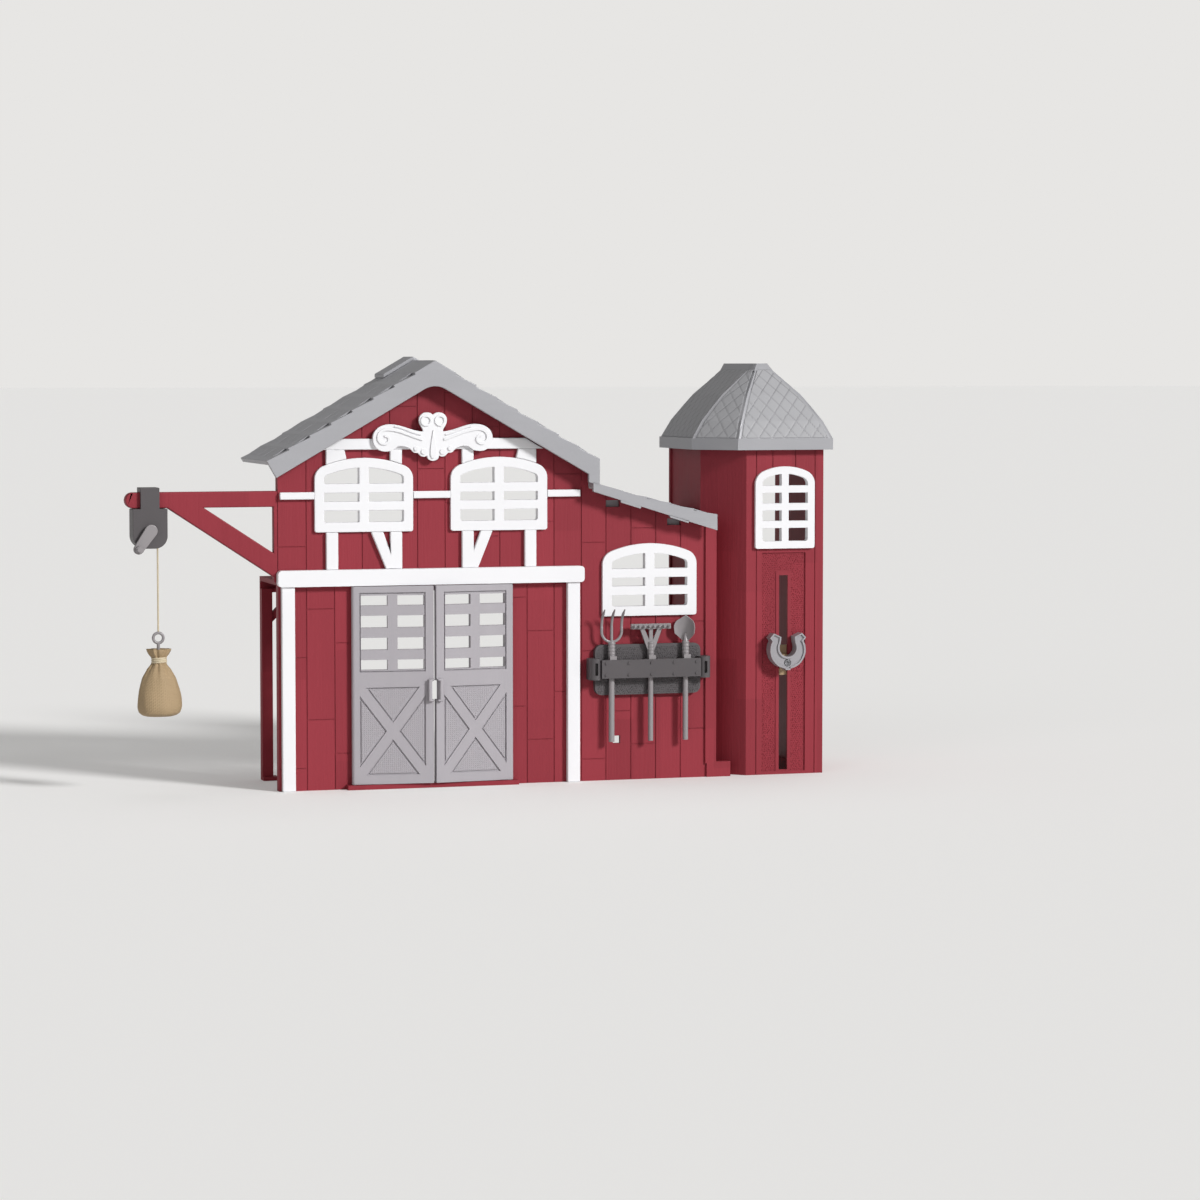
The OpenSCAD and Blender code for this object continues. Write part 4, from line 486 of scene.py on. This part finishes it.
# corners of the eave and the ridge, and levels as shares of the rise and of the way from eave to ridge
siloRoof = {"x": 341.7, "eaveZ": 223.5, "rise": 49.5, "step": 0.75, "rib": 1.7, "ribShare": 0.3, "thick": 0.8,
    "eave": ((-58.4, 88.0), (-58.4, 18.5), (-34.4, -6.0), (32.3, -6.0), (32.3, 88.0)),
    "ridge": ((-12.0, 88.0), (-12.0, 31.5), (-10.5, 27.0), (-1.5, 27.0), (-1.5, 88.0)),
    "levels": ((0.0, 0.025), (0.23, 0.18), (0.43, 0.37), (0.58, 0.52), (0.92, 0.95))}


def roofCorner(i, level):  # corner i of the bell at a level, in millimetres
    rise, drawn = level
    a, b = siloRoof["eave"][i], siloRoof["ridge"][i]
    return Vector((siloRoof["x"] + a[0] + drawn * (b[0] - a[0]), a[1] + drawn * (b[1] - a[1]),
        siloRoof["eaveZ"] + rise * siloRoof["rise"]))


def faceMesh(i):  # a fine sheet over the face between corners i and i + 1
    rows = []
    levels = siloRoof["levels"]
    along = 0.0
    for low, high in zip(levels, levels[1:]):
        ends = [[roofCorner(j, level) for j in (i, i + 1)] for level in (low, high)]
        length = ((ends[1][0] + ends[1][1]) / 2 - (ends[0][0] + ends[0][1]) / 2).length
        count = max(2, round(length / siloRoof["step"]))
        for k in range(count + (high is levels[-1])):
            t = k / count
            rows.append((ends[0][0].lerp(ends[1][0], t), ends[0][1].lerp(ends[1][1], t), along + length * t))
        along += length
    columns = max(6, round((rows[0][1] - rows[0][0]).length / siloRoof["step"]))
    verts, data = [], []
    middle = (rows[0][0] + rows[0][1]) / 2
    level = (rows[0][1] - rows[0][0]).normalized()
    for j, (left, right, height) in enumerate(rows):
        width = (right - left).length
        inset = min(siloRoof["rib"] / width, siloRoof["ribShare"])
        for k in range(columns + 1):
            spot = left.lerp(right, inset + (1 - 2 * inset) * k / columns)
            verts.append(at(*spot))
            border = j in (0, len(rows) - 1) or k in (0, columns)
            data.append(((spot - middle).dot(level) / 1000, height / 1000, 0.0 if border else 1.0))
    wide = columns + 1
    faces = [(j * wide + k, j * wide + k + 1, (j + 1) * wide + k + 1, (j + 1) * wide + k)
        for j in range(len(rows) - 1) for k in range(columns)]
    mesh = bpy.data.meshes.new("siloFace")
    mesh.from_pydata(verts, [], faces)
    for channel, name in enumerate(("across", "along", "inside")):
        mesh.attributes.new(name, "FLOAT", "POINT").data.foreach_set("value", [row[channel] for row in data])
    return mesh


def joined(name, objects):
    work = bmesh.new()
    for obj in objects:
        work.from_mesh(obj.data)
    mesh = bpy.data.meshes.new(name)
    work.to_mesh(mesh)
    work.free()
    for material in objects[0].data.materials:
        mesh.materials.append(material)
    for obj in objects:
        bpy.data.objects.remove(obj)
    result = bpy.data.objects.new(name, mesh)
    scene.collection.objects.link(result)
    return result


def settled(obj, body, smooth=True):  # shaded, riding on its body
    for face in obj.data.polygons:
        face.use_smooth = smooth
    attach(obj, body)
    return obj


def lofted(name, rings, material, threads=None):  # closed skin over rings of equal count
    work = bmesh.new()
    rows = [[work.verts.new(p) for p in ring] for ring in rings]
    layer = work.loops.layers.uv.new("threads") if threads else None
    for j, (a, b) in enumerate(zip(rows, rows[1:])):
        for k in range(len(a)):
            face = work.faces.new((a[k], a[(k + 1) % len(a)], b[(k + 1) % len(a)], b[k]))
            if threads:
                for loop, (u, v) in zip(face.loops, ((k, j), (k + 1, j), (k + 1, j + 1), (k, j + 1))):
                    loop[layer].uv = (u * threads[0] / len(a), v * threads[1] / len(rows))
    work.faces.new(list(reversed(rows[0])))
    work.faces.new(rows[-1])
    mesh = meshOf(name, work)
    mesh.materials.append(finish[material])
    obj = bpy.data.objects.new(name, mesh)
    scene.collection.objects.link(obj)
    return obj


def prism(name, outline, front, back, material):  # an outline seen from the front, given thickness
    return lofted(name, [[at(x, y, z) for x, z in outline] for y in (front, back)], material)


print("finishing the lean-to's edge")
corner = {"outline": ((200.9, 192.9), (206.4, 191.5), (206.4, 195.6), (200.9, 197.0)), "front": -0.2, "back": 0.6}
plank = prism("cornerPlank", corner["outline"], corner["front"], corner["back"], "red")
settled(plank, bodyOf["front_wall"], False)
fascia = {"x": (203.0, 291.0), "z": (190.06, 163.78), "lips": ((224.6, 238.2), (258.0, 271.0)), "drop": 0.95,
    "into": 0.6, "ends": (0.5, 0.4), "front": -12.0, "back": -9.6}


def underEdge(x):  # level of the fascia's lower edge
    (x0, x1), (z0, z1) = fascia["x"], fascia["z"]
    return z0 + (x - x0) * (z1 - z0) / (x1 - x0)


lips = []
for k, (x0, x1) in enumerate(fascia["lips"]):
    into, drop, (start, end) = fascia["into"], fascia["drop"], fascia["ends"]
    outline = ((x0, underEdge(x0) + into), (x0 + start, underEdge(x0) - drop), (x1, underEdge(x1) - drop),
        (x1 + end, underEdge(x1) + into))
    lips.append(prism("lip%d" % k, outline, fascia["front"], fascia["back"], "roof_grey"))
settled(joined("fasciaLips", lips), bodyOf["lean_roof"], False)

print("covering the silo roof")
relief = reliefTree()
faces = []
for i in range(4):
    face = grown("siloFace%d" % i, relief, {"Material": finish["bell_grey"]}, faceMesh(i))
    inwards = face.modifiers.new("thickness", "SOLIDIFY")
    inwards.thickness, inwards.offset = siloRoof["thick"] / 1000, -1
    faces.append(baked(face))
settled(joined("siloShingles", faces), bodyOf["silo_roof"])


# Small bumps over a plate, one at each vertex of a mesh of points
def pebbleTree():
    tree, given, out = newGroup("pebbles", "GeometryNodeTree",
        [("Geometry", "NodeSocketGeometry", None), ("Pebble", "NodeSocketObject", None),
         ("Turn", "NodeSocketRotation", None), ("Smallest", "NodeSocketFloat", 0.8),
         ("Largest", "NodeSocketFloat", 1.2), ("Seed", "NodeSocketInt", 1), ("Material", "NodeSocketMaterial", None)],
        [("Geometry", "NodeSocketGeometry")])
    pebble = nodeIn(tree, "GeometryNodeObjectInfo", {"Object": given["Pebble"]}).outputs["Geometry"]
    size = nodeIn(tree, "FunctionNodeRandomValue", {2: given["Smallest"], 3: given["Largest"], "Seed": given["Seed"]},
        data_type="FLOAT").outputs[1]
    laid = nodeIn(tree, "GeometryNodeInstanceOnPoints", {"Points": given["Geometry"], "Instance": pebble,
        "Rotation": given["Turn"], "Scale": size}).outputs[0]
    solid = nodeIn(tree, "GeometryNodeRealizeInstances", {0: laid}).outputs[0]
    painted = nodeIn(tree, "GeometryNodeSetMaterial", {"Geometry": solid, "Material": given["Material"]}).outputs[0]
    tree.links.new(painted, out["Geometry"])
    return tree


def pebbleObject(name, sides, radius, height, spin=0.0):  # a low dome, sunk a little at its foot
    sunk, topShare = 0.5, 0.55
    turns = [2 * math.pi * (k + spin) / sides for k in range(sides)]
    ring = [Vector((math.cos(turn), math.sin(turn), 0)) * radius for turn in turns]
    verts = [p + Vector((0, 0, -sunk * height)) for p in ring] + [p * topShare + Vector((0, 0, height)) for p in ring]
    faces = [(k, (k + 1) % sides, sides + (k + 1) % sides, sides + k) for k in range(sides)]
    faces += [tuple(range(sides, 2 * sides)), tuple(reversed(range(sides)))]
    mesh = bpy.data.meshes.new(name)
    mesh.from_pydata([v / 1000 for v in verts], [], faces)
    return bpy.data.objects.new(name, mesh)


pebbled = pebbleTree()


def pebbles(name, points, stone, turn, body, slot, seed, spread=(0.8, 1.2)):
    mesh = bpy.data.meshes.new(name)
    mesh.from_pydata(points, [], [])
    obj = grown(name, pebbled, {"Pebble": stone, "Turn": turn, "Smallest": spread[0], "Largest": spread[1],
        "Seed": seed, "Material": finish[slot]}, mesh)
    return settled(obj, body, False)


print("pebbling the plates")
plates = {"pitch": 1.35, "radius": 0.56, "height": 0.3, "wander": 0.3}
facingFront = (math.radians(90), 0, 0)


def scattered(x0, x1, z0, z1, y, keep, seed):  # points on an upright plate, in rows that wander a little
    draw = random.Random(seed)
    spots = []
    for row in range(int((z1 - z0) / plates["pitch"])):
        for column in range(int((x1 - x0) / plates["pitch"])):
            x = x0 + (column + 0.5 + 0.5 * (row % 2)) * plates["pitch"] + draw.uniform(-1, 1) * plates["wander"]
            z = z0 + (row + 0.5) * plates["pitch"] + draw.uniform(-1, 1) * plates["wander"]
            if x < x1 and keep(x, z):
                spots.append(at(x, y, z))
    return spots


stone = pebbleObject("pebble", 5, plates["radius"], plates["height"])
recess = {"x": 341.7, "half": 15.0, "low": 2.5, "high": 147.4, "face": 1.0, "slotHalf": 5.7, "slotTop": 135.8,
    "seed": 4}
rack = {"x": 245.8, "half": 35.4, "low": 57.0, "high": 89.0, "face": -4.0, "corner": 4.5, "seed": 9}


def besideSlot(x, z):
    return abs(x - recess["x"]) > recess["slotHalf"] or z > recess["slotTop"]


def onPlate(x, z):  # within the rounded corners
    dx = max(0, abs(x - rack["x"]) - (rack["half"] - rack["corner"]))
    dz = max(0, abs(z - (rack["low"] + rack["high"]) / 2) - ((rack["high"] - rack["low"]) / 2 - rack["corner"]))
    return math.hypot(dx, dz) < rack["corner"]


for name, plate, keep, node, material in (("siloPebbles", recess, besideSlot, "silo_shell", "red"),
        ("rackPebbles", rack, onPlate, "tool_rack", "rack_grey")):
    spots = scattered(plate["x"] - plate["half"], plate["x"] + plate["half"], plate["low"], plate["high"],
        plate["face"], keep, plate["seed"])
    pebbles(name, spots, stone, facingFront, bodyOf[node], material, plate["seed"])


# Door boards with a fine basket weave between the braces
doors = {"left": (48.9, -2.7), "right": (152.1, -2.7), "ajar": 5.0, "width": 53.3, "axis": 2.2, "border": 6.3,
    "face": -1.65, "low": 10.2, "high": 65.6, "brace": 4.7, "margin": 1, "pitch": 1.3, "first": 0.6, "cell": 0.72,
    "cellHeight": 0.17, "spread": (0.94, 1.04), "seed": 2}


def betweenBars():  # places on the lower panel of a leaf, from its hinge, off the crossed bars
    pitch, first, margin, low, high = (doors[key] for key in ("pitch", "first", "margin", "low", "high"))
    x0, x1 = doors["border"] - doors["axis"], doors["width"] - doors["axis"] - doors["border"]
    slope = (high - low + 2 * margin) / (x1 - x0 + 2 * margin)
    spots = []
    for row in range(int((high - low) / pitch)):
        for column in range(int((x1 - x0) / pitch)):
            x, z = x0 + (column + first) * pitch, low + (row + first) * pitch
            rising = slope * (x - x0 + margin)
            fromBars = min(abs(z - low + margin - rising), abs(high + margin - z - rising))
            if fromBars / math.hypot(1, slope) > doors["brace"]:
                spots.append((x, z))
    return spots


cell = pebbleObject("weaveCell", 4, doors["cell"], doors["cellHeight"], 0.5)
for side, name in ((1, "left"), (-1, "right")):
    hinge = Vector((*doors[name], 0))
    swing = math.radians(-side * doors["ajar"])
    spots = []
    for x, z in betweenBars():
        spot = Matrix.Rotation(swing, 3, "Z") @ Vector((side * x, doors["face"], 0)) + hinge
        spots.append(at(spot.x, spot.y, z))
    pebbles(name + "Weave", spots, cell, (math.radians(90), 0, swing), bodyOf[name + "_door"], "door_grey",
        doors["seed"], doors["spread"])


# Hoist: a twisted cord from the drum to the hook, and the moulded sack with its folds
def tube(name, path, radius, sides, material):  # a round skin along a path
    rings = []
    normal = None
    for i, spot in enumerate(path):
        along = (path[min(i + 1, len(path) - 1)] - path[max(i - 1, 0)]).normalized()
        guess = normal or (Vector((1, 0, 0)) if abs(along.x) < 0.9 else Vector((0, 0, 1)))
        normal = (guess - along * guess.dot(along)).normalized()
        other = along.cross(normal)
        turns = [2 * math.pi * k / sides for k in range(sides)]
        rings.append([spot + (normal * math.cos(turn) + other * math.sin(turn)) * radius for turn in turns])
    return lofted(name, rings, material)


print("reeving the hoist")
ropeLow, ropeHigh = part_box("hoist_rope")
ropeLine = Vector(((ropeLow.x + ropeHigh.x) / 2, (ropeLow.y + ropeHigh.y) / 2, 0))
hoist = {"strands": 3, "strand": 0.31, "twist": 0.29, "lay": 3.6, "steps": 12, "sides": 6}
strands = []
for strand in range(hoist["strands"]):
    count = round((ropeHigh.z - ropeLow.z) * 1000 / hoist["lay"] * hoist["steps"])
    path = []
    for k in range(count + 1):
        turn = 2 * math.pi * (k / hoist["steps"] + strand / hoist["strands"])
        path.append(ropeLine + Vector((math.cos(turn) * hoist["twist"] / 1000, math.sin(turn) * hoist["twist"] / 1000,
            ropeHigh.z + (ropeLow.z - ropeHigh.z) * k / count)))
    strands.append(tube("strand%d" % strand, path, hoist["strand"] / 1000, hoist["sides"], "cord"))
rope = settled(joined("hoistCord", strands), "barn")
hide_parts("hoist_rope")
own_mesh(rope)
wound = {"middle": (-82.0, 4.5, 168.0), "radius": 5.65, "cord": 0.55, "turns": 2, "pitch": 1.22, "beside": 1.25,
    "steps": 28, "sides": 8}
coil = []
for k in range(1, wound["turns"] * wound["steps"] + 1):  # beside the line on which the cord leaves the drum
    turn = 2 * math.pi * k / wound["steps"]
    x, y, z = wound["middle"]
    coil.append(at(x + wound["radius"] * math.cos(turn), y + wound["beside"] + wound["pitch"] * k / wound["steps"],
        z + wound["radius"] * math.sin(turn)))
settled(tube("drumCoil", coil, wound["cord"] / 1000, wound["sides"], "cord"), bodyOf["winch_drum"])

sackLow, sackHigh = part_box("sack")
sackMiddle = (sackLow + sackHigh) / 2
sackFoot = Vector((sackMiddle.x, sackMiddle.y, sackLow.z))
# levels are shares of the height with half widths and half depths, mouth rings shares of the width with drops
sackForm = {"height": 44.0, "top": 0.97, "rings": 60, "around": 72, "threads": (66, 48),
    "levels": ((0.0, 8.2, 5.8), (0.012, 10.6, 7.8), (0.05, 12.9, 9.9), (0.14, 14.0, 11.0), (0.34, 13.2, 10.4),
        (0.55, 10.6, 8.6), (0.68, 7.2, 6.2), (0.76, 4.5, 4.1), (0.80, 4.0, 3.7), (0.84, 4.4, 4.0), (0.9, 6.2, 5.3),
        (0.97, 7.4, 6.0)),
    "mouth": ((0.82, 0.6), (0.6, 2.6), (0.35, 4.2))}
folds = {"pleats": 9, "creases": 14, "all": 0.014, "tie": 0.15, "tieAt": 0.80, "tieReach": 0.17, "lip": 0.06,
    "lipFrom": 0.84, "lipReach": 0.13, "dents": 0.018, "dentsTo": 0.7}


def sackRadii(h):  # half width and half depth of the sack at a share of its height, smooth through the levels
    levels = sackForm["levels"]
    for i in range(len(levels) - 1):
        if h <= levels[i + 1][0]:
            break
    near = [levels[max(0, min(len(levels) - 1, i + k))] for k in (-1, 0, 1, 2)]
    t = (h - levels[i][0]) / (levels[i + 1][0] - levels[i][0])
    radii = []
    for c in (1, 2):
        a, b, d, e = (row[c] for row in near)
        square, cube = 2 * a - 5 * b + 4 * d - e, 3 * b - a - 3 * d + e
        radii.append(0.5 * (2 * b + (d - a) * t + square * t * t + cube * t ** 3))
    return radii


def foldAt(a, h):  # how far the cloth stands out at an angle and a share of the height
    pleat = folds["all"] + folds["tie"] * math.exp(-((h - folds["tieAt"]) / folds["tieReach"]) ** 2)
    pleat += folds["lip"] * max(0, h - folds["lipFrom"]) / folds["lipReach"]
    waves = 0.6 * math.cos(folds["pleats"] * a + 0.9 * math.sin(2 * a) + 0.7)
    waves += 0.4 * math.cos(folds["creases"] * a + 2.0 + 3 * h)
    dents = folds["dents"] * math.sin(3 * a + 9 * h) * math.sin(math.pi * min(1, h / folds["dentsTo"]))
    return 1 + pleat * waves + dents


print("filling the sack")
rings = []
for j in range(sackForm["rings"] + 1):
    h = sackForm["top"] * j / sackForm["rings"]
    wide, deep = sackRadii(h)
    ring = []
    for k in range(sackForm["around"]):
        a = 2 * math.pi * k / sackForm["around"]
        fold = foldAt(a, h)
        ring.append(sackFoot + Vector((wide * fold * math.cos(a), deep * fold * math.sin(a),
            h * sackForm["height"])) / 1000)
    rings.append(ring)
rim = rings[-1]
centre = Vector((sackFoot.x, sackFoot.y, rim[0].z))
for inward, drop in sackForm["mouth"]:  # the mouth dips between its gathered folds
    rings.append([centre.lerp(p, inward) - Vector((0, 0, drop / 1000)) for p in rim])
sackSkin = lofted("sackSkin", rings, "sackTan", sackForm["threads"])
settled(sackSkin, bodyOf["sack"])
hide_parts("sack")
tie = {"wide": 4.4, "deep": 4.1, "height": 33.6, "rise": 1.2, "turns": 3, "steps": 30, "cord": 0.65, "sides": 8}
path = []
for k in range(tie["turns"] * tie["steps"] + 1):
    a = 2 * math.pi * k / tie["steps"]
    path.append(sackFoot + Vector((tie["wide"] * math.cos(a), tie["deep"] * math.sin(a),
        tie["height"] + tie["rise"] * k / tie["steps"])) / 1000)
settled(tube("sackTie", path, tie["cord"] / 1000, tie["sides"], "cord"), bodyOf["sack"])


# Floor and studio
studio = {"floorColor": (0.80, 0.795, 0.785), "floorLift": 0.12, "floorReach": 40, "sky": (0.80, 0.79, 0.775),
    "world": 0.32}
# direction from the object to the light, its width in degrees and its power
suns = {"keyLight": ((0.55, -0.74, 0.46), 11, 2.9), "fillLight": ((-0.62, -0.70, 0.35), 40, 0.35),
    "topLight": ((0.1, 0.3, 1.0), 50, 0.35)}
floorMesh = bpy.data.meshes.new("floor")
corners = [(x * studio["floorReach"], y * studio["floorReach"], 0) for x, y in ((-1, -1), (1, -1), (1, 1), (-1, 1))]
floorMesh.from_pydata(corners, [], [(0, 1, 2, 3)])
floor = bpy.data.objects.new("floor", floorMesh)
scene.collection.objects.link(floor)
floorMesh.materials.append(backdrop("floorPaper", studio["floorColor"], studio["floorLift"]))

world = bpy.data.worlds.new("studio")
scene.world = world
world.use_nodes = True
sky = world.node_tree
sky.nodes.clear()
rays = nodeIn(sky, "ShaderNodeLightPath").outputs
seen = maths(sky, "MAXIMUM", rays["Is Camera Ray"], rays["Is Transmission Ray"])
strength = nodeIn(sky, "ShaderNodeMapRange", {"Value": seen, "To Min": studio["world"], "To Max": 1.0}).outputs[0]
paint = nodeIn(sky, "ShaderNodeBackground", {"Color": (*studio["sky"], 1), "Strength": strength})
nodeIn(sky, "ShaderNodeOutputWorld", {"Surface": paint.outputs[0]})
for name, (direction, width, power) in suns.items():
    light = bpy.data.lights.new(name, "SUN")
    light.angle, light.energy = math.radians(width), power
    lamp = bpy.data.objects.new(name, light)
    lamp.rotation_euler = Vector(direction).to_track_quat("Z", "Y").to_euler()
    scene.collection.objects.link(lamp)
